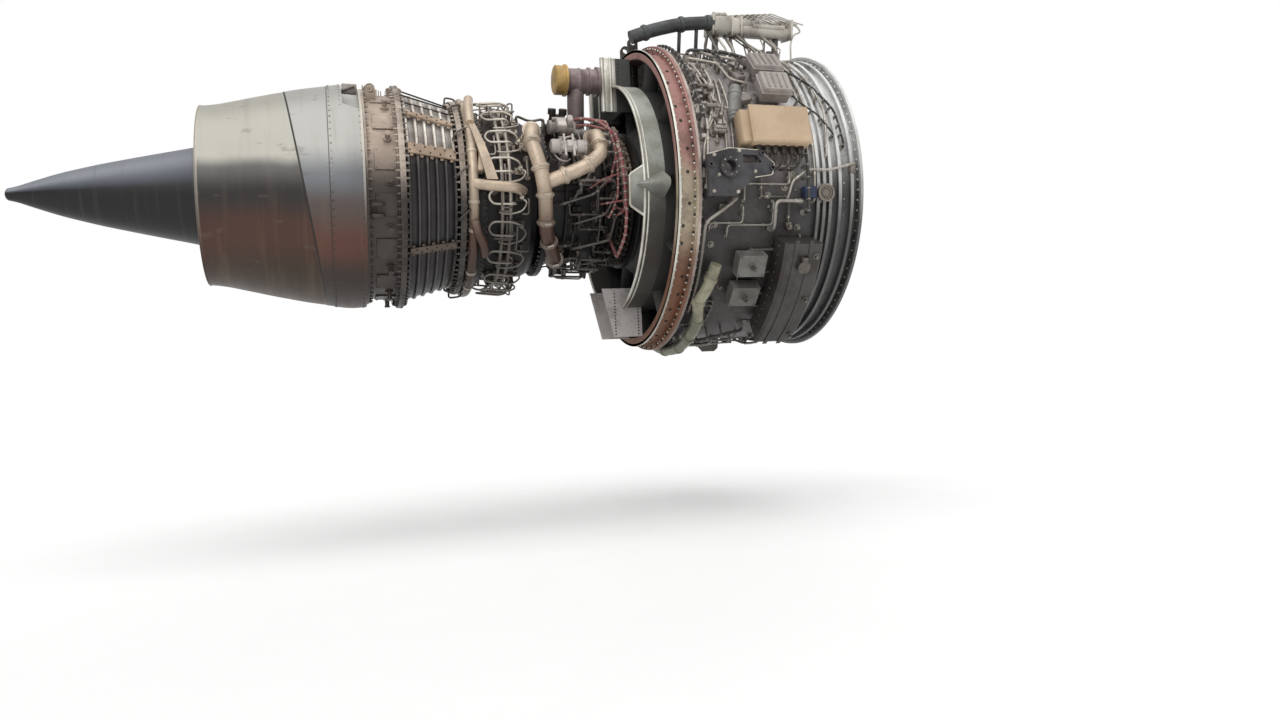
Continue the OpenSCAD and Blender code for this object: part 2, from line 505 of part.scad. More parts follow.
// Side handling bracket: an outline plate with windows, a trunnion bore and four feet
module side_bracket() translate([kit_x, 0, 0]) clock(90) difference() {
    union() {
        translate([0, 0, 866]) linear_extrude(34) difference() {
            polygon([[-880, 60], [-770, 92], [-607, 86], [-532, 20], [-548, -34], [-640, -48], [-748, -140],
                [-880, -140]]);
            polygon([[-700, 62], [-625, 60], [-600, 26], [-700, 20]]);
        }
        for (q = [[-852, 34], [-575, 8], [-852, -112], [-770, -100]]) translate([q[0], q[1], case_r - 12])
            cylinder(h = 866 - case_r + 14, r = 20);
        translate([-775, 0, 860]) cylinder(h = 62, r = 52);
        for (q = [[-870, 10], [-600, 70], [-548, 0]]) translate([q[0], q[1], 898]) cylinder(h = 14, r = 13);
    }
    translate([-775, 0, 850]) cylinder(h = 90, r = trunnion_r);
    along(x_d - kit_x, fan_case_l, case_r + seat_gap);
}
module side_brackets() color(dark) {
    side_bracket();
    mirror([0, 1, 0]) side_bracket();
}
// Oil tank: a curved can on feet, with a filler neck and cap ears
tank_x = kit_x - 262;
tank_l = 210;
tank_in = case_r + 14;
tank_out = case_r + 158;
cap_a = 120;
cap_t = 46;
module oil_tank() color([0.24, 0.23, 0.22]) {
    turned_arc([[tank_x, tank_in + 10], [tank_x, tank_out - 14], [tank_x - 14, tank_out],
        [tank_x - tank_l + 14, tank_out], [tank_x - tank_l, tank_out - 14], [tank_x - tank_l, tank_in + 10],
        [tank_x - tank_l + 10, tank_in], [tank_x - 10, tank_in]], 113, 152);
    for (a = [117, 148]) for (x = [30, tank_l - 30]) clock(a) translate([tank_x - x, 0, case_r + seat_gap])
        cylinder(h = 20, r = 13);
    for (x = [60, tank_l - 70]) turned_arc([[tank_x - x, tank_out - 1], [tank_x - x, tank_out + 4],
        [tank_x - x - 22, tank_out + 4], [tank_x - x - 22, tank_out - 1]], 112, 153);
    clock(cap_a) translate([tank_x - tank_l / 2, 0, tank_out - 4]) cylinder(h = 24, r = 30);
    clock(cap_a) for (s = [-1, 1]) translate([tank_x - tank_l / 2 + s * 19 - 4, 0, tank_out]) difference() {
        translate([0, cap_t - 7, -3]) cube([8, 14, 34]);
        translate([-1, cap_t, 24]) rotate([0, 90, 0]) cylinder(h = 10, r = 3.3);
    }
}
// Filler cap: a lid with a tongue and pin that turns in the ears
module tank_cap() color([0.6, 0.6, 0.58]) clock(cap_a) translate([tank_x - tank_l / 2, 0, tank_out]) {
    translate([0, 0, 20 + seat_gap]) cylinder(h = 9, r = 33);
    translate([-14, 20, 21]) cube([28, cap_t - 20, 6]);
    translate([-24, cap_t, 24]) rotate([0, 90, 0]) cylinder(h = 48, r = 3);
    translate([-14, cap_t, 24]) rotate([0, 90, 0]) cylinder(h = 28, r = 6);
}
// Accessory gearbox: a curved housing on the port side with drive pads and feet
gear_x = kit_x - 360;
gear_w = 120;
gear_in = case_r + 30;
gear_out = case_r + 140;
pad_r = (gear_in + gear_out) / 2;
module gearbox() color([0.42, 0.41, 0.38]) {
    turned_arc([[gear_x, gear_in + 8], [gear_x, gear_out - 20], [gear_x - 20, gear_out],
        [gear_x - gear_w + 20, gear_out], [gear_x - gear_w, gear_out - 20], [gear_x - gear_w, gear_in + 8],
        [gear_x - gear_w + 8, gear_in], [gear_x - 8, gear_in]], 203, 276);
    for (a = [208, 232, 256, 272]) clock(a) translate([gear_x - gear_w / 2, 0, case_r + seat_gap])
        cylinder(h = 34, r = 18);
    for (q = [[258, 52], [236, 50], [214, 50]]) clock(q[0]) translate([0, 0, pad_r])
        along(gear_x - gear_w - 8, 12, q[1]);
    for (q = [[250, 46], [222, 46]]) clock(q[0]) translate([0, 0, pad_r]) along(gear_x - 4, 12, q[1]);
    clock(271) translate([gear_x - 30, -20, pad_r]) rotate([0, 0, 0]) cylinder(h = 66, r = 26);
}
acc_x = gear_x - gear_w - 8;
acc_r = pad_r + 14;
module starter() color([0.5, 0.5, 0.48]) clock(258) translate([0, 0, acc_r]) {
    along(acc_x - 60, 60, 62);
    along(acc_x - 130, 70, 74);
    along(acc_x - 150, 20, 56);
    along(acc_x - 176, 26, 40);
}
module generator() color([0.46, 0.46, 0.44]) clock(236) translate([0, 0, acc_r + 8]) {
    along(acc_x - 26, 26, 70);
    along(acc_x - 236, 210, 88);
    along(acc_x - 250, 14, 60);
    for (i = [0:5]) along(acc_x - 60 - 30 * i, 6, 92);
}
module fuel_pump() color([0.5, 0.47, 0.42]) clock(214) translate([0, 0, acc_r]) {
    along(acc_x - 90, 90, 62);
    translate([acc_x - 230, -75, -58]) cube([140, 150, 120]);
    translate([acc_x - 190, 0, 60]) cylinder(h = 26, r = 30);
    translate([acc_x - 190, 0, 84]) cylinder(h = 22, r = 8);
}
// Fuel lever on the control's spindle
lever_bore = 8 + seat_gap;
module fuel_lever() color([0.62, 0.6, 0.55]) clock(214) translate([acc_x - 190, 0, acc_r + 86 + seat_gap])
    difference() {
        linear_extrude(8) difference() {
            union() {
                circle(r = 16);
                translate([-8, 0]) square([16, 62]);
                translate([0, 62]) circle(r = 11);
            }
            translate([0, 62]) circle(r = 4);
        }
        translate([0, 0, -1]) cylinder(h = 10, r = lever_bore);
    }
module hydraulic_pump() color([0.44, 0.44, 0.42]) clock(250) translate([0, 0, acc_r]) {
    along(gear_x + 8, 30, 50);
    along(gear_x + 38, 90, 44);
    along(gear_x + 128, 22, 34);
    translate([gear_x + 70, 0, 40]) cylinder(h = 26, r = 14);
}
module lube_unit() color([0.5, 0.49, 0.46]) clock(222) translate([0, 0, acc_r]) {
    along(gear_x + 8, 20, 50);
    translate([gear_x + 28, -62, -42]) cube([100, 124, 92]);
    for (y = [-34, 34]) translate([gear_x + 70, y, 48]) cylinder(h = 40, r = 22);
}
// Starter duct from the starboard side under the fan case to the starter
module starter_duct() color([0.5, 0.52, 0.46]) {
    fan_pipe([[-788, 122, 60], [-812, 131, 66], [-842, 137, 66], [-800, 148, 60], [-790, 170, 60],
        [-810, 230, 64], [-800, 248, 80], [-760, 258, acc_r - case_r], [acc_x - kit_x - 177, 258, acc_r - case_r]], 30);
    translate([kit_x, 0, 0]) for (c = [[-821, 142.5], [-791.6, 175], [-804, 212]]) clip(c[0], c[1], case_r, 60, 30);
}
// Bleed duct: a tee with an elbow up to the core, a riser and a drop pipe
bleed_h = 180;
tee_x = -1605;
module bleed_duct() color(beige) {
    for (q = [
        [[tee_x + 8, 92, bleed_h], [-1400, 84, bleed_h + 60], [-1318, 78, bleed_h + 80], [-1318, 66, bleed_h + 60],
         [-1330, 60, bleed_h - 40], [-1330, 60, 44]],
        [[-1638, 58, 44], [-1640, 62, bleed_h - 20], [-1666, 71, bleed_h], [-1625, 86, bleed_h],
         [tee_x, 98, bleed_h], [-1595, 116, bleed_h], [-1520, 138, bleed_h - 30], [-1496, 148, 90], [-1496, 148, 44]]])
        core_pipe(q, duct_pipe_r);
    for (q = [[-1330, 60], [-1638, 58], [-1496, 148]]) let (x = q[0] + core_x) clock(q[1])
        translate([x, 0, core_seat(x, duct_pipe_r + 4)]) cylinder(h = 50, r = duct_pipe_r + 4, $fn = 12);
    for (a = [96, 112, 128]) clip(core_x - 1597, a, core_r(core_x - 1604), bleed_h, duct_pipe_r);
}
// Band couplings round the bleed duct's straight legs
module banded(p0, p1, f, w, r) {
    v = unit(p1 - p0);
    translate(p0 + (p1 - p0) * f) rotate([0, acos(v[2]), atan2(v[1], v[0])]) difference() {
        cylinder(h = w, r = r + 8, center = true);
        cylinder(h = w + 2, r = r + seat_gap, center = true);
    }
}
module duct_couplings() color([0.6, 0.58, 0.54]) {
    for (f = [0.28, 0.5]) banded(core_at(tee_x + 8, 92, bleed_h), core_at(-1400, 84, bleed_h + 60), f, 16,
        duct_pipe_r);
    banded(core_at(-1330, 60, bleed_h - 40), core_at(-1330, 60, 44), 0.7, 16, duct_pipe_r);
}
// Bleed valves: two actuator cans on a bridge between the duct's legs
module bleed_valves() color([0.62, 0.58, 0.56]) clock(74) translate([core_x, 0, 0]) {
    translate([0, 0, 585]) along(-1570, 56, 32);
    translate([0, 0, 585]) along(-1580, 10, 38);
    translate([0, 0, 590]) along(-1440, 50, 34);
    translate([0, 0, 590]) along(-1390, 10, 40);
    translate([-1514, -12, 570]) cube([74, 24, 30]);
    translate([-1490, -14, core_r(core_x - 1490) + seat_gap]) cube([28, 28, 572 - core_r(core_x - 1490)]);
}
// Service bleed port with its blanking cap
port_base = core_r(core_x - 1305);
module service_bleed_port() color([0.6, 0.55, 0.56]) clock(9) translate([core_x, 0, 0]) {
    translate([0, 0, 645]) {
        along(-1355, 175, 66);
        along(-1368, 14, 84);
        along(-1425, 57, 78);
        along(-1194, 14, 80);
        along(-1240, 12, 74);
    }
    translate([-1305, 0, port_base + 17]) cylinder(h = 645 - port_base - 17, r = 46);
    translate([-1305, 0, core_seat(core_x - 1305, 60)]) cylinder(h = 20, r = 60);
}
module ignition_boxes() color([0.5, 0.5, 0.48]) for (a = [122, 134]) translate([kit_x, 0, 0]) clock(a) {
    translate([-680, -58, case_r + 24]) cube([150, 116, 66]);
    for (x = [-660, -550]) translate([x, 0, case_r + seat_gap]) cylinder(h = 25, r = 12);
    translate([-605, 0, case_r + 88]) cylinder(h = 16, r = 16);
}
// Stator vane drive: hydraulic actuator on a bracket, its rod, a bellcrank and the unison rings
vane_a = 40;
drive_z = 74;
pivot_x = x_hpc - 118;
in_arm = 45;
out_arm = 50;
rod_r = 9;
rod_travel = 12;
module vane_actuator() color([0.5, 0.5, 0.48]) clock(vane_a) translate([0, 0, hpc_r0]) difference() {
    union() {
    translate([x_hpc - 326, -34, 42]) cube([232, 110, 8]);
    for (x = [x_hpc - 320, x_hpc - 138]) let (z = core_seat(x, 0) - hpc_r0)
        translate([x, -20, z]) cube([16, 60, 44 - z]);
    translate([x_hpc - 330, 0, drive_z]) along(0, 140, 22);
    translate([x_hpc - 270, 0, drive_z]) along(0, 12, 27);
    translate([x_hpc - 325, -20, 43]) cube([20, 40, 20]);
    translate([x_hpc - 202, -20, 43]) cube([10, 40, 20]);
    translate([pivot_x, in_arm, 46]) cylinder(h = 38, r = 6);
    }
    translate([0, 0, drive_z]) along(x_hpc - 190 - 3 * rod_travel - 2, 3 * rod_travel + 3, rod_r + seat_gap);
}
module actuator_rod() color([0.75, 0.75, 0.74]) clock(vane_a) translate([0, 0, hpc_r0 + drive_z]) {
    along(x_hpc - 190 - 2 * rod_travel, 52 + 2 * rod_travel, rod_r);
    translate([pivot_x, 0, -4]) difference() {
        translate([-22, -12, 0]) cube([36, 24, 8]);
        translate([0, 0, -1]) cylinder(h = 10, r = 8);
    }
}
module bellcrank() color([0.6, 0.6, 0.58]) clock(vane_a) translate([pivot_x, in_arm, hpc_r0 + drive_z - 16]) {
    difference() {
        linear_extrude(8) union() {
            circle(r = 14);
            translate([-8, -in_arm]) square([16, in_arm]);
            translate([0, -in_arm]) circle(r = 10);
            translate([0, -8]) square([out_arm, 16]);
            translate([out_arm, 0]) circle(r = 10);
        }
        translate([0, 0, -1]) cylinder(h = 10, r = 6 + seat_gap);
    }
    for (q = [[0, -in_arm], [out_arm, 0]]) translate([q[0], q[1], 7]) cylinder(h = 15, r = 4);
}
// Unison rings round the front of the compressor, tied by bars
module unison_rings() color([0.66, 0.64, 0.6]) {
    for (d = [26, 52, 78]) let (x = x_hpc - d) ring(x - 5, x + 5, core_r(x) + 0.6, core_r(x) + 16);
    for (a = [vane_a - 6, 130, 220, 310]) clock(a) translate([x_hpc - 83, -8, hpc_r0 + 12]) cube([62, 16, 10]);
    clock(vane_a) translate([pivot_x + out_arm, in_arm, hpc_r0]) difference() {
        union() {
            translate([0, 0, drive_z - 6]) cylinder(h = 8, r = 15);
            translate([-8, -6, drive_z - 6]) cube([16, 60, 8]);
            translate([-10, 40, 0]) cube([12, 16, drive_z + 2]);
        }
        translate([0, 0, drive_z - 7]) cylinder(h = 10, r = 8);
    }
}
// Pipes on the fan case: [radius, route] with clips at chosen points; two start between the hoops
front_x = -(hoops[1] + hoops[2]) / 2 - kit_x;
lip_x = -(flange_t + hoops[0] - hoop_w / 2) / 2 - kit_x;
fan_tubes = [
    [7, [[-880, 108, 0.3], [-880, 108, 24], [-868, 118, 30], [-862, 126, 30], [-862, 126, 0.3]]],
    [8, [[-880, 66, 0.3], [-880, 66, 26], [-835, 64, 34], [-700, 66, 34], [-660, 67, 26], [-660, 67, 0.3]]],
    [6, [[-680, 50, 0.3], [-680, 50, 20], [-684, 62, 20], [-700, 84, 20], [-700, 84, 0.3]]],
    [6, [[-706, 50, 0.3], [-706, 50, 20], [-722, 62, 20], [-736, 84, 20], [-736, 84, 0.3]]],
    [6, [[-860, 30, 0.3], [-860, 30, 22], [-820, 44, 30], [-780, 58, 22], [-780, 78, 22], [-780, 78, 0.3]]],
    [7, [[-800, 36, 0.3], [-800, 36, 40], [-640, 42, 48], [-560, 44, 48], [-560, 44, 0.3]]],
    [6, [[-300, 20, 0.3], [-300, 20, 30], [-292, 60, 34], [-300, 88, 30], [-300, 88, 0.3]]],
    [6, [[-276, 24, 0.3], [-276, 24, 44], [-270, 64, 44], [-276, 100, 40], [-276, 100, 0.3]]],
    [9, [[-340, 100, 0.3], [-340, 100, 50], [-500, 100, 60], [-500, 110, 60], [-500, 110, 0.3]]],
    [6, [[front_x, 30, 0.3], [front_x, 30, 38], [-320, 38, 44], [-320, 38, 0.3]]],
    [5, [[lip_x, 86, 0.3], [lip_x, 86, 34], [-190 - kit_x / 2, 90, 40], [-270, 108, 44], [-270, 108, 0.3]]],
    [8, [[-880, -40, 0.3], [-880, -40, 30], [-700, -44, 36], [-560, -70, 36], [-560, -70, 0.3]]],
    [8, [[-840, -60, 0.3], [-840, -60, 40], [-600, -64, 50], [-420, -74, 50], [-420, -74, 0.3]]],
    [10, [[-700, 190, 0.3], [-700, 190, 40], [-520, 196, 60], [-420, 198, 60], [-420, 198, 0.3]]],
    [7, [[-860, 200, 0.3], [-860, 200, 26], [-860, 240, 26], [-860, 252, 26], [-860, 252, 0.3]]],
    [7, [[-300, 160, 0.3], [-300, 160, 40], [-300, 200, 36], [-300, 240, 36], [-300, 300, 36], [-300, 300, 0.3]]],
    [6, [[-740, -20, 0.3], [-740, -20, 24], [-700, -100, 24], [-700, -100, 0.3]]],
    [6, [[-640, 4, 0.3], [-640, 4, 24], [-620, -30, 24], [-450, -40, 24], [-450, -40, 0.3]]]];
fan_clips = [[-680, 56, 20, 6], [-292, 60, 34, 6], [-270, 64, 44, 6], [-700, -44, 36, 8], [-600, -64, 50, 8],
    [-860, 240, 26, 7], [-300, 230, 36, 7]];
module fan_case_tubes() color([0.62, 0.6, 0.55]) {
    for (q = fan_tubes) fan_pipe(q[1], q[0]);
    for (c = fan_clips) translate([kit_x, 0, 0]) clip(c[0], c[1], case_r, c[2], c[3]);
}
fan_leads = [
    [9, [[-760, 28, 0.3], [-760, 28, 58], [-560, 30, 60], [-452, 38, 60], [-452, 38, 0.3]]],
    [8, [[-862, 14, 0.3], [-862, 14, 60], [-862, 60, 62], [-850, 72, 62], [-850, 72, 0.3]]],
    [8, [[-330, 66, 0.3], [-330, 66, 60], [-318, 104, 64], [-318, 104, 0.3]]],
    [9, [[-500, 156, 0.3], [-500, 156, 50], [-640, 160, 56], [-730, 164, 56], [-730, 164, 0.3]]],
    [9, [[-520, -10, 0.3], [-520, -10, 74], [-510, -90, 74], [-510, -90, 0.3]]]];
module fan_case_harness() color([0.22, 0.21, 0.2]) {
    for (q = fan_leads) fan_pipe(q[1], q[0]);
    for (c = [[-700, 29.6, 59, 9], [-600, 29.7, 60, 9], [-862, 24, 60, 8], [-862, 36, 61, 8], [-862, 48, 62, 8],
        [-324, 80, 62, 8], [-560, 157.7, 52, 9], [-516, -40, 74, 9]]) translate([kit_x, 0, 0])
        clip(c[0], c[1], case_r, c[2], c[3]);
}
// Pipes on the core
core_pipes = [
    [7, [[-1420, 26, 0.3], [-1420, 26, 60], [-1400, 28, 70], [-1340, 26, 60], [-1340, 26, 0.3]]],
    [7, [[-1120, 60, 60], [-1240, 62, 70], [-1420, 100, 60], [-1420, 100, 0.3]]],
    [6, [[-1210, 82, 0.3], [-1210, 82, 90], [-1320, 96, 96], [-1500, 104, 70], [-1500, 104, 0.3]]],
    [6, [[-1200, 96, 0.3], [-1200, 96, 100], [-1260, 110, 96], [-1425, 118, 70], [-1425, 118, 0.3]]],
    [8, [[-1210, 112, 0.3], [-1210, 112, 110], [-1220, 130, 80], [-1415, 140, 60], [-1415, 140, 0.3]]],
    [8, [[-1660, 72, 0.3], [-1660, 72, 24], [-1660, 86, 24], [-1660, 86, 0.3]]],
    [7, [[-1500, 20, 0.3], [-1500, 20, 100], [-1660, 26, 40], [-1660, 26, 0.3]]],
    [10, [[-1918.5, 92, 66.5], [-1860, 92, 104], [-1704, 94, 104], [-1650, 94, 20]]],
    [6, [[-1180, 150, 0.3], [-1180, 150, 70], [-1360, 160, 60], [-1500, 170, 50], [-1500, 170, 0.3]]],
    [6, [[-1200, 180, 0.3], [-1200, 180, 60], [-1425, 200, 60], [-1425, 200, 0.3]]],
    [8, [[-1200, 230, 0.3], [-1200, 230, 80], [-1400, 236, 80], [-1640, 240, 30], [-1640, 240, 0.3]]],
    [8, [[-1220, 262, 0.3], [-1220, 262, 80], [-1440, 270, 90], [-1500, 284, 60], [-1500, 284, 0.3]]],
    [7, [[-1200, 300, 0.3], [-1200, 300, 70], [-1360, 310, 80], [-1640, 320, 30], [-1640, 320, 0.3]]],
    [7, [[-1500, 340, 0.3], [-1500, 340, 100], [-1660, 346, 40], [-1660, 346, 0.3]]]];
module core_tubes() color([0.5, 0.46, 0.42]) for (q = core_pipes) core_pipe(q[1], q[0]);
core_leads = [
    [8, [[-1420, 52, 0.3], [-1420, 52, 200], [-1380, 54, 230], [-1300, 56, 240], [-1222, 66, 250], [-1205, 84, 250],
         [-1190, 100, 240], [-1185, 118, 230], [-1200, 134, 190], [-1200, 134, 0.3]]],
    [6, [[-1222, 72, 250], [-1210, 88, 262], [-1196, 104, 250], [-1196, 112, 60]]]];
module core_harness() color([0.62, 0.46, 0.42]) {
    for (q = core_leads) core_pipe(q[1], q[0]);
    for (c = [[-1200, 86], [-1190, 108], [-1222, 66]]) let (x = c[0] + core_x) clip(x, c[1], core_r(x), 240, 8);
    for (a = [60, 76, 94, 126]) clip(core_x - 1428, a, core_r(core_x - 1435), 24, 6);
}
// Hexagon bolts on the large flanges: [count, station, radius, height, across]
bolt_rows = [[60, x_d - flange_t, case_flange_r - 14, -8, 7], [60, x_d + flange_t, case_flange_r - 14, 8, 7],
    [48, x_trf + 14, lpt_flange_r - 14, 8, 7], [40, x_hpt + 14, comb_flange_r - 12, 8, 7],
    [36, x_lpt + 14, lpt_front_flange_r - 14, 8, 7]];
module flange_bolts() color([0.45, 0.42, 0.38]) for (b = bolt_rows) for (i = [0:b[0] - 1])
    clock(360 * (i + 0.5) / b[0]) translate([b[1] + min(0, b[3]), 0, b[2]]) rotate([0, 90, 0])
        cylinder(h = abs(b[3]), r = b[4], $fn = 6);
// Bearings in the frame hub and the turbine hub
hp_stub_r = 84;
module bearings() color([0.7, 0.7, 0.7]) {
    ring(x_d - 50, x_d - 12, lp_shaft_r + bearing_gap, hub_r - 25 - seat_gap);
    ring(x_c + 4, x_c + 30, hp_stub_r + bearing_gap, hub_r - 25 - seat_gap);
    ring(x_trf - 84, x_trf - 30, lp_shaft_r + bearing_gap, hub_r - 30 - seat_gap);
}
module spinner() color([0.3, 0.3, 0.32]) turned([[spinner_reach, 0], [spinner_reach - 6, 14], [-60, 150],
    [-120, 240], [-disk_x, disk_r - 6], [-disk_x, disk_r - 24], [-118, 225], [-66, 138], [spinner_reach - 16, 0]]);
module fan_disk() color([0.5, 0.5, 0.5]) turned([[-disk_x, 110], [-disk_x, disk_r], [-disk_x - disk_w, disk_r],
    [-disk_x - disk_w, 240], [-disk_x - 96, 200], [-disk_x - 112, 132], [-disk_x - 112, 110]]);
// Fan blades: twisted, cambered, with mid-span shrouds
span_n = 5;
blade_z0 = disk_r + seat_gap;
blade_z1 = duct_r - tip_gap;
shroud_f = 0.62;
function blade_chord(f) = 128 + 26 * f;
function blade_turn(f) = 24 + 38 * f;
function blade_thick(f) = 15 - 10 * f;
function section(f) = let (c = blade_chord(f), t = blade_thick(f), m = 0.1 - 0.06 * f)
    [for (q = [[0, 0], [0.28, 1], [0.7, 0.8], [1, 0], [0.7, -0.8], [0.28, -1]])
        let (u = q[0] - 0.5, w = m * c * 4 * q[0] * (1 - q[0]) + q[1] * t / 2)
        [c * u * cos(blade_turn(f)) - w * sin(blade_turn(f)), c * u * sin(blade_turn(f)) + w * cos(blade_turn(f))]];
module fan_blade() {
    pts = [for (i = [0:span_n - 1]) let (f = i / (span_n - 1), z = blade_z0 + (blade_z1 - blade_z0) * f)
        for (q = section(f)) i == 0 ? [q[0], q[1], z] : [q[0], z * sin(q[1] / z * 57.3), z * cos(q[1] / z * 57.3)]];
    polyhedron(pts, concat([[5, 4, 3, 2, 1, 0]], [for (i = [0:span_n - 2]) for (k = [0:5])
        each [[i * 6 + k, i * 6 + (k + 1) % 6, (i + 1) * 6 + (k + 1) % 6],
              [i * 6 + k, (i + 1) * 6 + (k + 1) % 6, (i + 1) * 6 + k]]],
        [[for (k = [0:5]) (span_n - 1) * 6 + k]]));
    z = blade_z0 + (blade_z1 - blade_z0) * shroud_f;
    w = z * tan(180 / fan_blades_n) - 0.4;
    hull() for (s = [-1, 1]) translate([-16, s * w - (s > 0 ? 0.5 : 0), z - 3]) cube([32, 0.5, 6]);
}
module fan_blades() color([0.6, 0.6, 0.62]) for (i = [0:fan_blades_n - 1]) clock(360 * i / fan_blades_n)
    translate([-disk_x - disk_w / 2, 0, 0]) fan_blade();
// Booster rotor: a drum with its blade rows
module booster_rotor() color([0.5, 0.5, 0.5]) turned(concat([[-disk_x - disk_w, 242], [-disk_x - disk_w, 270]],
    [for (x = [-385, -495, -600]) let (r = core_wall(x) - rotor_gap - 2)
        each [[x + 25, 300], [x + 20, r], [x - 10, r], [x - 15, 300]]],
    [[-690, 296], [-690, 284], [-380, 288], [-320, 242]]));
// Low-pressure shaft with its front cone and the lands for the bearings
module low_shaft() color([0.62, 0.62, 0.6]) turned([[-disk_x - 112, 40], [-disk_x - 112, 130],
    [-disk_x - 124, 130], [-disk_x - disk_w, 108], [-disk_x - disk_w - 16, 108], [-disk_x - disk_w - 120, lp_shaft_r],
    [x_hpt - 40, lp_shaft_r], [x_hpt - 40, hp_bore_r - bearing_gap], [x_hpt - 70, hp_bore_r - bearing_gap],
    [x_hpt - 70, lp_shaft_r], [x_trf + 40, lp_shaft_r], [x_trf + 40, 110], [x_trf + 24, 110], [x_trf + 24, lp_shaft_r],
    [x_noz + 30, lp_shaft_r], [x_noz + 30, 40]]);
// Low-pressure turbine rotor: bladed disks on a common drum and cone
module lpt_rotor() color([0.46, 0.42, 0.4]) turned(concat([[x_trf + 12, 56], [x_trf + 12, 112], [x_trf + 8, 232]],
    [for (i = [3:-1:0]) let (x = x_lpt - 14 - lpt_pitch * (i + 0.5), r = lpt_case_r(x) - 12 - rotor_gap - 3)
        each [[x - 14, 250], [x - 14, r], [x + 14, r], [x + 14, 250]]],
    [[x_lpt - 24, 236], [x_trf + 30, 226], [x_trf + 26, 128], [x_trf + 24, 120], [x_trf + 24, 56]]));
// High-pressure compressor rotor: a drum with its blade rows and stub shaft
module hpc_rotor() color([0.55, 0.54, 0.52]) turned(concat([[x_c + 2, hp_bore_r], [x_c + 2, hp_stub_r],
    [x_hpc + 4, hp_stub_r], [x_hpc - 8, 200]],
    [for (i = [1:9]) let (x = x_hpc - 10 - stage_l * (i - 0.5), d = 212 + 6 * i, r = core_r(x) - core_t - rotor_gap)
        each [[x + 12, d], [x + 12, r], [x - 12, r], [x - 12, d]]],
    [[x_comb + 6, 262], [x_comb + 6, 112], [x_comb + 30, 110], [x_comb + 60, 240], [x_hpc - 30, 196],
     [x_hpc - 14, 90], [x_hpc - 14, hp_bore_r]]));
// High-pressure turbine rotor: shaft and bladed disk
module hpt_rotor() color([0.5, 0.46, 0.42]) turned([[x_comb + 6, 112], [x_comb + 6, 129], [x_comb - 10, 129],
    [x_hpt + 20, 112], [x_hpt - 34, 120], [x_hpt - 34, 300], [x_hpt - 30, hpt_r - 20 - rotor_gap],
    [x_hpt - 70, hpt_r - 20 - rotor_gap], [x_hpt - 66, 300], [x_hpt - 76, 120], [x_hpt - 76, hp_bore_r],
    [x_hpt - 36, hp_bore_r], [x_hpt + 20, 100], [x_comb - 8, 112]]);

fan_case();
fan_frame();
guide_vanes();
inner_fairing();
upper_bifurcation();
lower_bifurcation();
booster_case();
hpc_case();
combustor_case();
combustor_liner();
fuel_nozzles();
fuel_manifold();
hpt_case();
turbine_manifold();
lpt_case();
lpt_cooling_tubes();
cooling_rails();
turbine_frame();
exhaust_nozzle();
plug_front();
plug_rear();
front_mount();
anti_ice_duct();
anti_ice_valve();
control_box();
electronic_boxes();
side_brackets();
oil_tank();
tank_cap();
gearbox();
starter();
starter_duct();
fuel_pump();
fuel_lever();
hydraulic_pump();
generator();
lube_unit();
bleed_duct();
duct_couplings();
bleed_valves();
service_bleed_port();
ignition_boxes();
vane_actuator();
actuator_rod();
bellcrank();
unison_rings();
fan_case_tubes();
fan_case_harness();
core_tubes();
core_harness();
flange_bolts();
bearings();
spinner();
fan_disk();
fan_blades();
booster_rotor();
low_shaft();
lpt_rotor();
hpc_rotor();
hpt_rotor();
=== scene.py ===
import math

import bpy
import numpy as np
from bpy.props import FloatProperty, FloatVectorProperty, IntProperty, PointerProperty
from mathutils import Matrix, Vector


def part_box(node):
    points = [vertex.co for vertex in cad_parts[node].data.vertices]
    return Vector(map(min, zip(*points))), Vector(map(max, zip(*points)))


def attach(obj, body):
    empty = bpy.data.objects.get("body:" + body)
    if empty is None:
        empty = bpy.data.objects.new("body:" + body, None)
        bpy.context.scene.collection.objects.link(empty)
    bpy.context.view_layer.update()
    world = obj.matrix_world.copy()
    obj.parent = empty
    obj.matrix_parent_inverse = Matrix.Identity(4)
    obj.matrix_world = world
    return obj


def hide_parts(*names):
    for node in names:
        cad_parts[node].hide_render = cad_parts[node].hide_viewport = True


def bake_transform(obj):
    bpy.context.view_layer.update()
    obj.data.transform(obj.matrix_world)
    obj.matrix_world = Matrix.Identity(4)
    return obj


bl_info = {
    "name": "Turbofan dressing",
    "version": (1, 0, 0),
    "blender": (4, 5, 0),
    "location": "View3D > Sidebar > Turbofan",
    "description": "Skins, pipework, harnesses and finishes of an uncowled turbofan around its fixed frame",
    "category": "Add Mesh",
}

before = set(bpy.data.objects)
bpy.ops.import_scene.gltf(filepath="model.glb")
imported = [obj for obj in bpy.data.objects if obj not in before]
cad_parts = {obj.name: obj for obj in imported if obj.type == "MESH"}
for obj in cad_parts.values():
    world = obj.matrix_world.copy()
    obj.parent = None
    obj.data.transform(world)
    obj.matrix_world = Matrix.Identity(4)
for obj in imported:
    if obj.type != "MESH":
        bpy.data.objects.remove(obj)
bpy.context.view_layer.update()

# Stations along the shaft, taken from the frame
X_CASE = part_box("fan_case")[0][0]
X_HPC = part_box("hpc_case")[1][0]
X_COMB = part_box("combustor_case")[1][0]
X_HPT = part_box("hpt_case")[1][0]
X_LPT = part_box("lpt_case")[1][0]
X_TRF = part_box("turbine_frame")[1][0]
X_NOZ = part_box("exhaust_nozzle")[1][0]
X_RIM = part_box("exhaust_nozzle")[0][0]
X_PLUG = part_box("plug_rear")[1][0]
X_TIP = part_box("plug_rear")[0][0]
X_REAR = X_CASE - 0.095

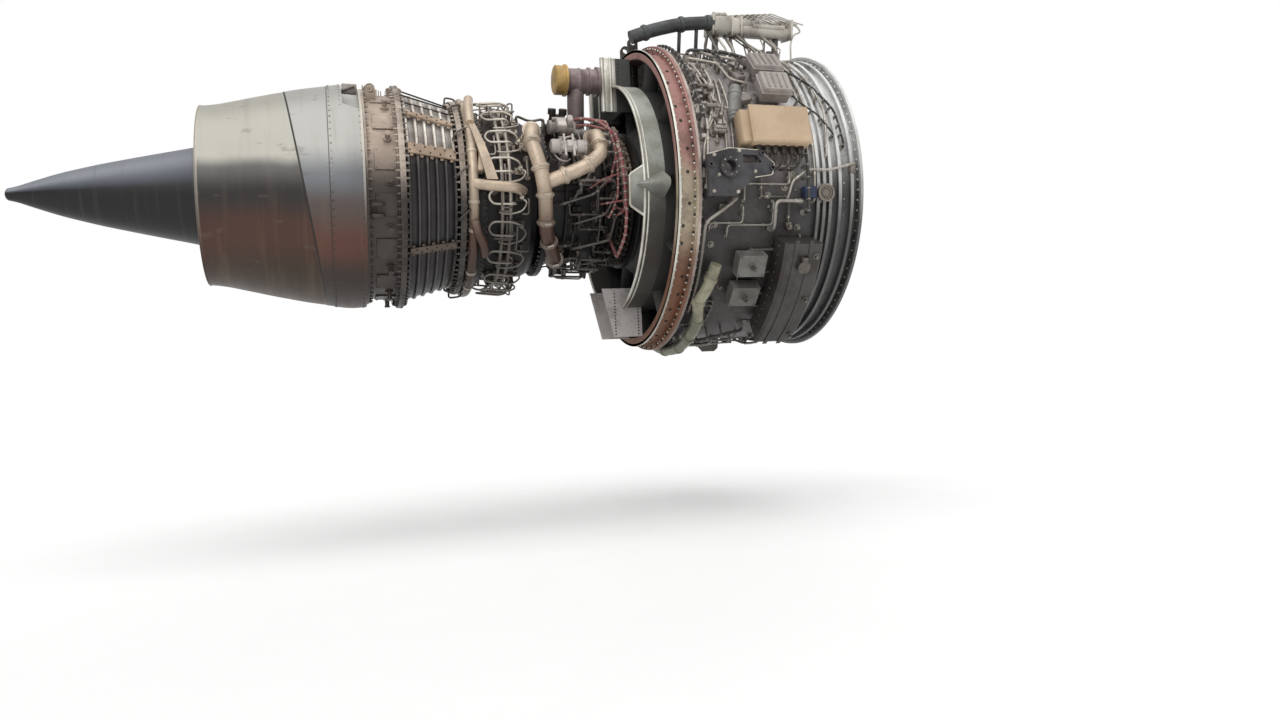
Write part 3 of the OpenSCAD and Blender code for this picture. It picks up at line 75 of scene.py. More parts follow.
# Radii that the frame's own pieces share
CASE_R = 0.782
RING_R = CASE_R + 0.018
FAIRING_R = 0.62
COMB_R = 0.412
HPT_R = 0.446
TRF_R = 0.516
NOZZLE_R = 0.562
NOZZLE_RIM_R = 0.437
NOZZLE_WALL = 0.006
PLUG_R = 0.33
PLUG_JOINT_R = 0.294
FAN_HUB_R = 0.2853
FAN_TIP_R = 0.761
HOOP_RISE = 0.026

# Other stations, angles and distances
X_HOOPS = -0.27
X_FAN = -0.225
SEAM_X = X_NOZ - 0.278
SEAM_LEAN = 0.157
DUCT_CLOCK = 14
VALVE_CLOCK = 12
CRANK_ROOM = 0.085
SHARP_ANGLE = 38.0

# Corners of the core's outline as (station, radius)
CORE_TABLE = [(X_NOZ, TRF_R), (X_TRF - 0.016, TRF_R), (X_TRF - 0.015, 0.528), (X_LPT - 0.014, 0.444),
              (X_LPT, HPT_R), (X_HPT, HPT_R), (X_HPT + 0.001, COMB_R), (X_COMB - 0.08, COMB_R),
              (X_COMB - 0.05, 0.396), (X_COMB - 0.014, 0.34), (X_COMB, 0.34), (X_HPC, 0.326),
              (X_REAR, FAIRING_R)]


def fan_base(x):
    """Outer radius of the fan case, or of the frame's ring behind it, at station x."""
    return np.where(np.asarray(x) > X_CASE, CASE_R, RING_R)


def case_base(x):
    """Outer radius of the bare fan case, the same at every station."""
    return np.full(np.shape(x), CASE_R)


def core_base(x):
    """Outer radius of the bare core at station x, read between the corners of its outline."""
    table = np.array(CORE_TABLE)
    return np.interp(x, table[:, 0], table[:, 1])


def at(x, clock, r):
    """Points at station x and radius r, clock degrees from the top towards starboard."""
    x, turn, r = np.broadcast_arrays(np.asarray(x, float), np.radians(clock), np.asarray(r, float))
    return np.stack([x, -r * np.sin(turn), r * np.cos(turn)], -1)


def mm(*rows):
    """Corners given in millimetres, in metres."""
    return np.array(rows) / 1000


def through(*stops):
    """Points at (station, clock, radius) stops."""
    return at(*np.transpose(stops))


def unit(v):
    """Vectors scaled to length one."""
    return v / np.maximum(np.linalg.norm(v, axis=-1, keepdims=True), 1e-9)


def seat(x, clock, r, turn=0.0):
    """A place on the engine: its origin and its axes, forward, sideways and outwards."""
    a = math.radians(clock)
    t = math.radians(turn)
    forward = np.array([1.0, 0.0, 0.0])
    sideways = np.array([0.0, math.cos(a), math.sin(a)])
    outward = np.array([0.0, -math.sin(a), math.cos(a)])
    axes = np.stack([
        forward * math.cos(t) + sideways * math.sin(t), sideways * math.cos(t) - forward * math.sin(t),
        outward])
    return at(x, clock, r), axes


def shift(place, x, y=0.0, z=0.0):
    """A place moved along its own axes."""
    return place[0] + np.array([x, y, z], float) @ place[1], place[1]


def dots(place, r, count, axis=2):
    """Points evenly on a circle of radius r about one axis of a place."""
    turn = np.arange(count)[:, None] * 2 * math.pi / count
    return place[0] + r * (
        np.cos(turn) * place[1][(axis + 1) % 3] + np.sin(turn) * place[1][(axis + 2) % 3])


def circle(x, r, radius, sides=8):
    """A round outline of (station, radius) corners about station x and radius r."""
    turn = np.linspace(0, 2 * math.pi, sides, endpoint=False)
    return np.stack([x + radius * np.cos(turn), r + radius * np.sin(turn)], -1)


class Shell:
    """Collects closed surfaces into one mesh, each with a tone that its finish reads."""

    def __init__(self):
        self.points = []
        self.quads = []
        self.caps = []
        self.tones = []
        self.total = 0

    def add(self, points, quads, caps=(), tone=0.5):
        """Adds points and faces; a surface whose volume comes out negative is turned right side out."""
        points = points.reshape(-1, 3)
        quads = np.asarray(quads)
        centre = points.mean(axis=0)
        corner = points[quads] - centre
        volume = np.einsum("ij,ij->", corner[:, 0], np.cross(corner[:, 1], corner[:, 2]))
        volume += np.einsum("ij,ij->", corner[:, 0], np.cross(corner[:, 2], corner[:, 3]))
        for cap in caps:
            fan = points[cap] - centre
            volume += np.einsum(
                "ij,ij->", np.repeat(fan[:1], len(fan) - 2, 0), np.cross(fan[1:-1], fan[2:]))
        if volume < 0:
            quads = quads[:, ::-1]
            caps = [cap[::-1] for cap in caps]
        self.points.append(points)
        self.quads.append(quads + self.total)
        self.caps += [(np.asarray(cap) + self.total).tolist() for cap in caps]
        self.tones.append(np.full(len(points), tone))
        self.total += len(points)

    def grid(self, p, rows=False, cols=True, caps=True, tone=0.5):
        """Joins an array of rings: ring i to ring i + 1, round each ring, with its two ends closed."""
        m, n = p.shape[:2]
        i = np.arange(m if rows else m - 1)[:, None]
        j = np.arange(n if cols else n - 1)[None, :]
        quads = np.stack(
            [i * n + j, i * n + (j + 1) % n, (i + 1) % m * n + (j + 1) % n, (i + 1) % m * n + j], -1)
        ends = [np.arange(n)[::-1], np.arange(n) + (m - 1) * n] if caps and not rows else []
        self.add(p, quads.reshape(-1, 4), ends, tone)

    def tube(self, path, r, sides=10, tone=0.5):
        """A circle of radius r carried along a path, upright to a direction that the path never takes."""
        path = np.asarray(path, float)
        along = unit(np.gradient(path, axis=0))
        lean = np.array([
            [1, 0, 0], [0, 1, 0], [0, 0, 1], [1, 1, 0], [1, -1, 0], [1, 0, 1], [1, 0, -1], [0, 1, 1],
            [0, 1, -1], [1, 1, 1], [1, 1, -1], [1, -1, 1], [-1, 1, 1]], float)
        spread = np.linalg.norm(np.cross(along[:, None], unit(lean)[None]), axis=-1).min(axis=0)
        side = unit(np.cross(along, unit(lean)[spread.argmax()]))
        up = np.cross(along, side)
        turn = np.linspace(0, 2 * math.pi, sides, endpoint=False)
        radius = np.broadcast_to(r, len(path))[:, None, None]
        rings = path[:, None] + radius * (
            np.cos(turn)[None, :, None] * side[:, None] + np.sin(turn)[None, :, None] * up[:, None])
        self.grid(rings, tone=tone)

    def turned(self, profile, n=144, start=0.0, stop=360.0, tone=0.5):
        """A closed outline of (station, radius) corners turned about the shaft between two clock angles."""
        outline = np.asarray(profile, float)
        whole = stop - start >= 360
        clock = np.linspace(start, stop, n, endpoint=not whole)
        rings = at(outline[None, :, 0], clock[:, None], outline[None, :, 1])
        self.grid(rings, rows=whole, tone=tone)

    def drum(self, place, profile, sides=20, axis=2, tone=0.5):
        """An outline of (height, radius) corners turned about one axis of a place."""
        origin, axes = place
        outline = np.asarray(profile, float)
        turn = np.linspace(0, 2 * math.pi, sides, endpoint=False)
        a, b, c = axes[axis], axes[(axis + 1) % 3], axes[(axis + 2) % 3]
        rings = (origin + outline[:, 0, None, None] * a
                 + outline[:, 1, None, None] * (np.cos(turn)[:, None] * b + np.sin(turn)[:, None] * c))
        self.grid(rings, tone=tone)

    def block(self, place, size, foot=(0, 0, 0), edge=0.004, tone=0.5):
        """A box on the middle of its foot: a rounded outline at four heights, drawn in at both rims."""
        origin, axes = place
        size = np.asarray(size, float)
        edge = min(edge, size.min() * 0.3)
        corner = np.repeat(np.array([[1, 1], [-1, 1], [-1, -1], [1, -1]], float), 3, axis=0)
        turn = np.radians(np.arange(12) // 3 * 90 + np.arange(12) % 3 * 45)
        arc = np.stack([np.cos(turn), np.sin(turn)], -1)
        heights = np.array([0, edge, size[2] - edge, size[2]])
        inset = np.array([edge, 0, 0, edge])[:, None, None] * 0.7
        flat = corner * (size[:2] / 2 - edge) + arc * edge
        flat = flat[None] - inset * np.sign(flat)[None]
        rings = (origin + (flat[..., :1] + foot[0]) * axes[0] + (flat[..., 1:] + foot[1]) * axes[1]
                 + (heights[:, None, None] + foot[2]) * axes[2])
        self.grid(rings, tone=tone)

    def stamp(self, rings, origins, axes, tone=0.5):
        """Copies a small ring surface to many places at once: local points times each place's axes."""
        m, n = rings.shape[:2]
        copies = len(origins)
        placed = np.einsum("mnk,ckd->cmnd", rings, axes) + origins[:, None, None]
        i = np.arange(m - 1)[:, None]
        j = np.arange(n)[None, :]
        quads = np.stack([i * n + j, i * n + (j + 1) % n, (i + 1) * n + (j + 1) % n, (i + 1) * n + j], -1)
        shift = np.arange(copies)[:, None, None] * m * n
        quads = (quads.reshape(1, -1, 4) + shift).reshape(-1, 4)
        top = (np.arange(n) + (m - 1) * n)[None] + shift[:, 0]
        bottom = np.arange(n)[::-1][None] + shift[:, 0]
        self.points.append(placed.reshape(-1, 3))
        self.quads.append(quads + self.total)
        self.caps += (np.concatenate([top, bottom]) + self.total).tolist()
        tones = np.broadcast_to(tone, copies)
        self.tones.append(np.repeat(tones, m * n))
        self.total += copies * m * n

    def heads(self, origins, normals, r, h, sides=6, tone=0.5):
        """Bolt heads or rivets: a small chamfered drum stamped along each normal."""
        origins = np.atleast_2d(np.asarray(origins, float))
        normals = unit(np.broadcast_to(np.asarray(normals, float), origins.shape))
        lean = np.where(np.abs(normals[:, :1]) > 0.8, [[0.0, 0.6, 0.8]], [[1.0, 0.0, 0.0]])
        side = unit(np.cross(normals, lean))
        axes = np.stack([side, np.cross(normals, side), normals], 1)
        turn = np.linspace(0, 2 * math.pi, sides, endpoint=False)
        rim = np.stack([np.cos(turn), np.sin(turn), 0 * turn], -1)
        up = np.array([0, 0, 1.0])
        rings = np.stack([rim * r - up * 0.0005, rim * r + up * h * 0.7, rim * r * 0.72 + up * h])
        self.stamp(rings, origins, axes, tone)

    def build(self, name, kind, body="root", slot=None, nodes=()):
        """Makes the mesh object, gives it its finish, and puts it on its body."""
        mesh = bpy.data.meshes.new(name)
        points = np.concatenate(self.points)
        mesh.from_pydata(points.tolist(), [], np.concatenate(self.quads).tolist() + self.caps)
        tone = mesh.attributes.new("tone", "FLOAT", "POINT")
        tone.data.foreach_set("value", np.concatenate(self.tones))
        mesh.shade_smooth()
        mesh.set_sharp_from_angle(angle=math.radians(SHARP_ANGLE))
        mesh.materials.append(finish(kind))
        piece = bpy.data.objects.new(name, mesh)
        bpy.context.scene.collection.objects.link(piece)
        if body:
            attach(piece, body)
        if nodes:
            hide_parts(*nodes)
        return piece

    def lathe(self, p, way, profile, sides=10, tone=0.5):
        """An outline of (distance, radius) corners turned about the line from p along way."""
        profile = np.asarray(profile, float)
        self.tube(p + profile[:, :1] * way, profile[:, 1], sides, tone)

    def collar(self, p, way, half, r, sides=10, tone=0.5):
        """A short sleeve round a line, half its length to either side of p."""
        self.tube([p - way * half, p + way * half], r, sides, tone)

    def blocks(self, place, *rows):
        """Several boxes on one place, each row with its size, foot, edge and tone."""
        for row in rows:
            self.block(place, *row)

    def bolt_circle(self, x, r, count, head, height, sides=6, face=0, phase=0.5):
        """Heads evenly round station x, standing outwards or, with face 1 or -1, forwards or aft."""
        turn = (np.arange(count) + phase) * 360 / count
        self.heads(at(x, turn, r), [face, 0, 0] if face else at(0, turn, 1.0), head, height, sides)


def soften(points, reach, n=5):
    """Rounds each corner of a path: a quadratic curve from reach before it to reach after it."""
    p = np.asarray(points, float)
    back, ahead = p[:-2] - p[1:-1], p[2:] - p[1:-1]
    cut = np.minimum(
        reach, 0.45 * np.minimum(np.linalg.norm(back, axis=1), np.linalg.norm(ahead, axis=1)))[:, None]
    a, b = p[1:-1] + unit(back) * cut, p[1:-1] + unit(ahead) * cut
    s = np.linspace(0, 1, n)[None, :, None]
    curve = (1 - s) ** 2 * a[:, None] + 2 * s * (1 - s) * p[1:-1, None] + s ** 2 * b[:, None]
    return np.concatenate([p[:1], curve.reshape(-1, 3), p[-1:]])


def route(stops, base, bend=0.03, step=5.0):
    """A pipe's path through (station, clock, height) stops over the surface base, its corners rounded."""
    q = np.array(stops, float)
    parts = np.maximum(1, np.ceil(np.abs(np.diff(q[:, 1])) / step)).astype(int)
    t = np.concatenate([i + np.arange(n) / n for i, n in enumerate(parts)] + [[len(q) - 1.0]])
    k = np.arange(len(q))
    x, clock, height = (np.interp(t, k, q[:, c]) for c in range(3))
    return soften(at(x, clock, base(x) + height), bend)


def distance(path, point):
    """Shortest distance from a point to a path, measured at nine places on each leg."""
    s = np.linspace(0, 1, 9)[:, None, None]
    return float(np.linalg.norm(path[:-1] * (1 - s) + path[1:] * s - point, axis=-1).min())


def footed(stops, scale=1):
    """Stops in metres with a foot under each raised end, but not at one that is marked None."""
    line = [(stop[0] / scale, stop[1], stop[2] / scale) for stop in stops if stop]
    if stops[0] and line[0][2]:
        line.insert(0, (*line[0][:2], 0))
    if stops[-1] and line[-1][2]:
        line.append((*line[-1][:2], 0))
    return line


def spaced(path, first, spare, step):
    """Points at an even step along a path, up to spare before its end, each with the direction there."""
    leg = np.linalg.norm(np.diff(path, axis=0), axis=1)
    run = np.concatenate([[0], np.cumsum(leg)])
    for d in np.arange(first, run[-1] - spare, step):
        i = int(np.searchsorted(run, d)) - 1
        yield path[i] + (path[i + 1] - path[i]) * (d - run[i]) / leg[i], unit(path[i + 1] - path[i])


def clock_of(p):
    """Clock angle in degrees of a point."""
    return math.degrees(math.atan2(-p[1], p[2]))


def post(shell, p, base, r, size, shortest, longest, tone):
    """A clip's post from the surface up to a line at p, where that is neither too near nor too far."""
    foot = float(base(p[0]))
    tall = math.hypot(p[1], p[2]) - foot - r
    if shortest < tall < longest:
        shell.block(seat(p[0], clock_of(p), foot), (*size, tall), edge=0.002, tone=tone)


def pipe(shell, stops, base, r, sides=10, bend=0.03, tone=0.5, clips=0.16):
    """A pipe with a hexagon nut at each end and clips on posts at even spacing along it."""
    path = route(stops, base, bend)
    shell.tube(path, r, sides, tone)
    for end, nxt in ((path[0], path[1]), (path[-1], path[-2])):
        way = unit(nxt - end)
        shell.tube([end, end + way * r * 1.6, end + way * r * 1.7, end + way * r * 3.2],
                   np.array([1.75, 1.75, 1.5, 1.4]) * r, 6, min(tone + 0.25, 1.0))
    if clips:
        for p, way in spaced(path, clips * 0.6, clips * 0.4, clips):
            shell.collar(p, way, 0.006, r + 0.0022, 8, 0.85)
            post(shell, p, base, r, (0.012, 0.014), 0.004, 0.09, 0.7)


def plug_end(shell, end, way, r, tone=0.3):
    """A cable's connector: a back shell, a knurled ring and a flange, turned about the way it points."""
    profile = [(0, 2.1), (0.4, 2.1), (0.42, 1.75), (1.3, 1.75), (1.32, 1.5), (2.6, 1.5), (3.4, 1.05)]
    shell.lathe(end, unit(np.asarray(way, float)), np.array(profile) * r, 12, tone)


def sleeved_lead(shell, stops, base, r, bend, tones, ring, skip, every):
    """A harness lead with end connectors and a ring at every few points; returns those points."""
    path = route(stops, base, bend)
    shell.tube(path, r, 10, tones[0])
    ringed = list(range(skip, len(path) - skip, every))
    for i in ringed:
        shell.collar(path[i], unit(path[i + 1] - path[i]), 0.003, r + ring, 10, tones[1])
    plug_end(shell, path[0], path[1] - path[0], r, 0.9)
    plug_end(shell, path[-1], path[-2] - path[-1], r, 0.9)
    return path[ringed]


class Socket:
    """A shader output that takes part in sums, products and powers."""

    def __init__(self, finish, output):
        self.finish = finish
        self.output = output

    def _math(self, operation, *values):
        return self.finish.node("ShaderNodeMath", {"operation": operation}, dict(enumerate(values)))

    def __add__(self, other):
        return self._math("ADD", self, other)

    def __sub__(self, other):
        return self._math("SUBTRACT", self, other)

    def __rsub__(self, other):
        return self._math("SUBTRACT", other, self)

    def __mul__(self, other):
        return self._math("MULTIPLY", self, other)

    def __pow__(self, other):
        return self._math("POWER", self, other)

    __radd__ = __add__
    __rmul__ = __mul__

    def over(self, low, high):
        """0 below low and 1 above high, smooth between; low may be the larger."""
        return self.finish.node(
            "ShaderNodeMapRange", {"interpolation_type": "SMOOTHSTEP"},
            {"Value": self, "From Min": low, "From Max": high, "To Min": 0.0, "To Max": 1.0})


class Finish:
    """One procedural finish: its nodes are made by one method and end in a Principled shader."""

    def __init__(self, name, **constants):
        self.material = bpy.data.materials.new("worn_" + name)
        self.material.use_nodes = True
        self.tree = self.material.node_tree
        self.shader = self.tree.nodes["Principled BSDF"]
        for socket, value in constants.items():
            self.shader.inputs[socket.replace("_", " ")].default_value = value
        self.place = self.node("ShaderNodeTexCoord", {}, {}, "Object")

    def node(self, kind, settings, inputs, out=0):
        """Makes a node, sets its settings first and then its inputs, and returns the named output."""
        made = self.tree.nodes.new(kind)
        for key, value in settings.items():
            if key == "stops":
                ramp = made.color_ramp
                while len(ramp.elements) < len(value):
                    ramp.elements.new(0.5)
                for element, (where, colour) in zip(ramp.elements, value):
                    element.position = where
                    element.color = (*colour, 1.0)
            else:
                setattr(made, key, value)
        for key, value in inputs.items():
            self.join(made.inputs[key], value)
        return Socket(self, made.outputs[out])

    def join(self, socket, value):
        """Links a wrapped output to a socket, or sets the socket's own value."""
        if isinstance(value, Socket):
            self.tree.links.new(value.output, socket)
        elif getattr(socket, "type", "") == "RGBA" and len(value) == 3:
            socket.default_value = (*value, 1.0)
        else:
            socket.default_value = value

    def noise(self, scale, detail=4.0, stretch=(1.0, 1.0, 1.0), roughness=0.55, shift=(0.0, 0.0, 0.0)):
        """Fractal noise on the object's coordinates, about 0.3 to 0.7."""
        where = self.node(
            "ShaderNodeMapping", {}, {"Vector": self.place, "Scale": stretch, "Location": shift})
        return self.node(
            "ShaderNodeTexNoise", {},
            {"Vector": where, "Scale": scale, "Detail": detail, "Roughness": roughness})

    def axis(self, name):
        """One coordinate of the point: X along the shaft, Y to port or Z up."""
        return self.node("ShaderNodeSeparateXYZ", {}, {"Vector": self.place}, name)

    def mix(self, amount, a, b):
        """Colour a where amount is 0 and colour b where it is 1."""
        made = self.tree.nodes.new("ShaderNodeMix")
        made.data_type = "RGBA"
        self.join(made.inputs["Factor"], amount)
        self.join(made.inputs[6], a)
        self.join(made.inputs[7], b)
        return Socket(self, made.outputs[2])

    def tone(self):
        """The tone that each surface of a piece carries."""
        return self.node("ShaderNodeAttribute", {"attribute_name": "tone"}, {}, "Fac")

    def surface(self, colour, roughness, height=None, depth=0.001, metallic=None):
        """Joins colour, roughness, relief and metalness to the shader."""
        self.join(self.shader.inputs["Base Color"], colour)
        self.join(self.shader.inputs["Roughness"], roughness)
        if metallic is not None:
            self.join(self.shader.inputs["Metallic"], metallic)
        if height is not None:
            bump = self.node(
                "ShaderNodeBump", {}, {"Height": height, "Strength": 0.6, "Distance": depth}, "Normal")
            self.join(self.shader.inputs["Normal"], bump)
        return self.material

    def bands(self, height, top, *rows):
        """Picked colours from the top down, each with the heights between which it takes over."""
        colour = linear(top)
        for start, stop, tint in rows:
            colour = self.mix(height.over(start, stop), colour, linear(tint))
        return colour

    def stains(self, colour, *rows):
        """Lays picked colours over a colour, each row with its share and its colour."""
        for share, tint in rows:
            colour = self.mix(share, colour, linear(tint))
        return colour


def linear(colour):
    """A colour picked in percent of red, green and blue, as the linear values that a shader takes."""
    c = np.asarray(colour, float) / 100
    return tuple(np.where(c <= 0.04045, c / 12.92, ((c + 0.055) / 1.055) ** 2.4))


def weathered(name, base, stain, dirt_and_shade, metallic=0.6, rough=0.5, low=(-0.15, -0.7), underside_grime_and_shade_amount=0.75, patch=4,
              grime=0.5, toned=False, depth=0.0008):
    """Old metal or paint: patches of stain, fine grime, streaks down the sides and a darker underside,
    partly dirt and partly painted shade.
    """
    f = Finish(name, Metallic=metallic)
    base, stain, dirt_and_shade = linear(base), linear(stain), linear(dirt_and_shade)
    patches = f.noise(patch, 5)
    fine = f.noise(60, 6, roughness=0.7)
    streaks = f.noise(7, 4, (1, 1, 0.18), shift=(3.1, 0, 1.7))
    colour = f.mix(patches.over(0.4, 0.62), base, stain)
    if toned:
        colour = f.mix(
            f.tone().over(0, 1), f.mix(0.72, colour, dirt_and_shade), f.mix(0.35, colour, (0.62, 0.59, 0.54)))
    wear = (streaks.over(0.5, 0.68) * 0.6 + fine.over(0.5, 0.72) * 0.5) * grime
    colour = f.mix(wear, colour, dirt_and_shade)
    # Darker towards the bottom: partly dirt and partly painted shade under the part.
    underside_grime_and_shade = f.axis("Z").over(low[0], low[1]) * underside_grime_and_shade_amount
    colour = f.mix(underside_grime_and_shade, colour, dirt_and_shade)
    rough_map = fine * 0.3 + streaks * 0.25 + (rough - 0.27)
    return f.surface(colour, rough_map, fine * 0.6 + patches * 0.4, depth)


def nozzle_finish():
    """Heat-tinted sheet: straw above, grey at the waist, red-brown below, cooler ahead of the seam. The
    bands are partly heat tint, with a painted reflection in the bright top and painted shade in the dark
    lower bands.
    """
    f = Finish("nozzle_sheet", Metallic=0.3, Anisotropic=0.2)
    x, z = f.axis("X"), f.axis("Z")
    brushed = f.noise(14, 6, (1, 0.15, 0.15), 0.7)
    rings = f.noise(3, 4, (8, 0.6, 0.6), 0.6, (0, 4, 0))
    cloud = f.noise(2.2, 5, shift=(5, 1, 0))
    spots = f.noise(9, 3, (1, 1, 2.2), shift=(2, 2, 7)).over(0.63, 0.7)
    height = z + (cloud - 0.5) * 0.08
    # Bands by height: heat tint, with a painted reflection at the top and painted shade in the dark lower
    # bands.
    aft = f.bands(
        height, (64, 63, 59), (0.10, 0.03, (33, 32, 31.5)), (0.06, -0.08, (15, 13.4, 13)),
        (-0.08, -0.22, (27, 16.5, 12.5)), (-0.26, -0.42, (20.5, 15, 10.5)))
    fore = f.bands(
        height, (63.5, 63, 61), (0.16, 0, (40, 41, 42.5)), (0, -0.14, (31, 27, 26)),
        (-0.12, -0.3, (33, 20.5, 16)), (-0.3, -0.45, (19, 15, 13)))
    seam = x - SEAM_X + z * SEAM_LEAN
    joint = x - (X_NOZ - 0.158)
    colour = f.stains(
        f.mix(seam.over(-0.002, 0.002), aft, fore), (rings.over(0.5, 0.75) * 0.18, (44, 37, 29)),
        (spots * 0.3, (34, 30, 26)),
        ((seam ** 2).over(0.00003, 0.000006) + (joint ** 2).over(0.00001, 0.000002) * 0.7, (14, 12, 11)),
        # Light strips along the front edge and the rolled rim, on the upper side only: painted highlights.
        (x.over(X_NOZ - 0.012, X_NOZ - 0.009) * z.over(-0.25, 0.15) * 0.7, (76, 73, 68)),
        (x.over(X_RIM + 0.012, X_RIM + 0.006) * z.over(-0.4, 0.1) * 0.6, (68, 65, 60)))
    return f.surface(colour, brushed * 0.25 + cloud * 0.2 + 0.22, brushed * 0.3 + cloud * 0.7, 0.004)


def plug_finish():
    """Blue-black satin sheet, lighter along its crown and almost black beneath: painted light above and
    painted shade below.
    """
    f = Finish("plug_sheet", Metallic=0.25)
    rings = f.noise(4, 3, (6, 0.3, 0.3), 0.6)
    cloud = f.noise(3, 5)
    radius = (f.axis("X") - (X_TIP - 0.04)) * 0.27
    # Colour by height over the plug's radius: painted light on the crown, painted shade beneath.
    share = f.axis("Z") * radius ** -1 + (cloud - 0.5) * 0.25
    colour = f.stains(
        f.bands(share, (5.2, 4.7, 6), (0, 0.3, (25, 26, 29.5)), (0.2, 0.75, (46, 47, 50))),
        (rings.over(0.52, 0.7) * 0.25, (27, 26, 27)))
    return f.surface(colour, cloud * 0.25 + 0.32, rings, 0.001)


def frame_finish():
    """Primer of the fan frame: red-brown above, tan at the waist and orange-brown below, with painted shade,
    almost black, on the ring's inner face in the duct.
    """
    f = Finish("frame_primer", Metallic=0)
    z = f.axis("Z") + (f.noise(3, 4) - 0.5) * 0.3
    fine = f.noise(45, 6, roughness=0.7)
    patches = f.noise(6, 5, shift=(1, 7, 2))
    y = f.axis("Y")
    # Inside radius 0.775 the ring goes almost black: painted shade in the duct.
    radius = (y * y + f.axis("Z") ** 2) ** 0.5
    colour = f.stains(
        f.bands(z, (60, 44, 41), (0.12, -0.02, (62, 57, 49)), (-0.24, -0.46, (42, 27, 18))),
        (patches.over(0.5, 0.7) * 0.5, (30, 23, 20)), (fine.over(0.5, 0.7) * 0.4, (26, 22, 19)),
        (radius.over(0.775, 0.76), (17, 16.5, 16)))
    return f.surface(colour, fine * 0.3 + 0.45, fine, 0.0008)


def case_finish():
    """Fan case: a silver front barrel, a stained grey-beige middle and a lower half darkened, partly with
    soot and partly as painted shade.
    """
    f = Finish("case_metal", Metallic=0.3)
    patches = f.noise(3, 5)
    spots = f.noise(11, 6, roughness=0.65, shift=(4, 2, 0))
    fine = f.noise(60, 6, roughness=0.7)
    streaks = f.noise(7, 4, (1, 1, 0.18), shift=(3.1, 0, 1.7))
    middle = f.bands(patches, (78, 74.5, 73.5), (0.42, 0.6, (58, 56, 55)))
    front = f.bands(patches, (88, 88, 87.5), (0.4, 0.62, (76, 76, 75.5)))
    # The lower half goes almost black: partly soot, partly painted shade.
    underside_grime_and_shade = (f.axis("Z") + (patches - 0.5) * 0.3).over(0.26, -0.16)
    colour = f.stains(
        f.mix(f.axis("X").over(-0.40, -0.30), middle, front),
        (spots.over(0.53, 0.66) * 0.45, (27, 25.5, 25)),
        ((streaks.over(0.5, 0.68) + fine.over(0.5, 0.72)) * 0.32, (20, 18.5, 18)),
        (underside_grime_and_shade * 0.92, (9.5, 8.4, 8.5)))
    return f.surface(colour, fine * 0.3 + streaks * 0.25 + 0.22, fine * 0.6 + patches * 0.4, 0.0008)


def bifurcation_finish():
    """Duct dividers: dark grey above the core as painted shade, and dusty light grey below it."""
    f = Finish("bifurcation_paint", Metallic=0)
    cloud = f.noise(5, 5)
    fine = f.noise(50, 6, roughness=0.7)
    # The upper divider, above the core, is painted dark as shade in the duct.
    colour = f.stains(
        f.bands(f.axis("Z"), (25, 25.5, 24.5), (0.1, -0.1, (60, 58, 57))),
        (cloud.over(0.5, 0.68) * 0.5, (22, 21, 20)), (fine.over(0.52, 0.72) * 0.4, (16, 15, 14)))
    return f.surface(colour, fine * 0.3 + 0.4, fine, 0.0006)


def duct_metal(name, light, brown):
    """Stained duct alloy: beige above, browner and darker towards the bottom, partly soot and partly painted
    shade.
    """
    f = Finish(name, Metallic=0.35)
    cloud = f.noise(6, 5)
    fine = f.noise(70, 5, roughness=0.7)
    z = f.axis("Z") + (cloud - 0.5) * 0.25
    # The lower stains follow height: browner and darker below, partly soot and partly painted shade.
    colour = f.stains(
        f.bands(cloud, light, (0.42, 0.65, [c * 0.84 for c in light])), (z.over(0, -0.28), brown),
        (z.over(-0.26, -0.5) * 0.8, (20, 16, 14)), (f.tone().over(0.55, 1) * 0.5, (72, 69, 64)),
        (fine.over(0.52, 0.75) * 0.5, (32, 26, 22)))
    return f.surface(colour, fine * 0.25 + cloud * 0.2 + 0.2, fine, 0.0007)


def sleeve(name, base, light):
    """Braided or lacquered sleeve: a fine weave over a faded colour, darker towards the bottom as painted
    shade.
    """
    f = Finish(name, Metallic=0)
    weave = f.noise(420, 2)
    cloud = f.noise(8, 4)
    # The last stain darkens the lower side by height: painted shade.
    colour = f.stains(
        f.bands(cloud, base, (0.4, 0.65, light)), (weave.over(0.45, 0.65) * 0.5, [c * 0.55 for c in base]),
        (f.tone().over(0.6, 1), (62, 60, 56)), (f.axis("Z").over(-0.1, -0.6) * 0.6, (12, 10, 10)))
    return f.surface(colour, weave * 0.3 + 0.45, weave, 0.0006)
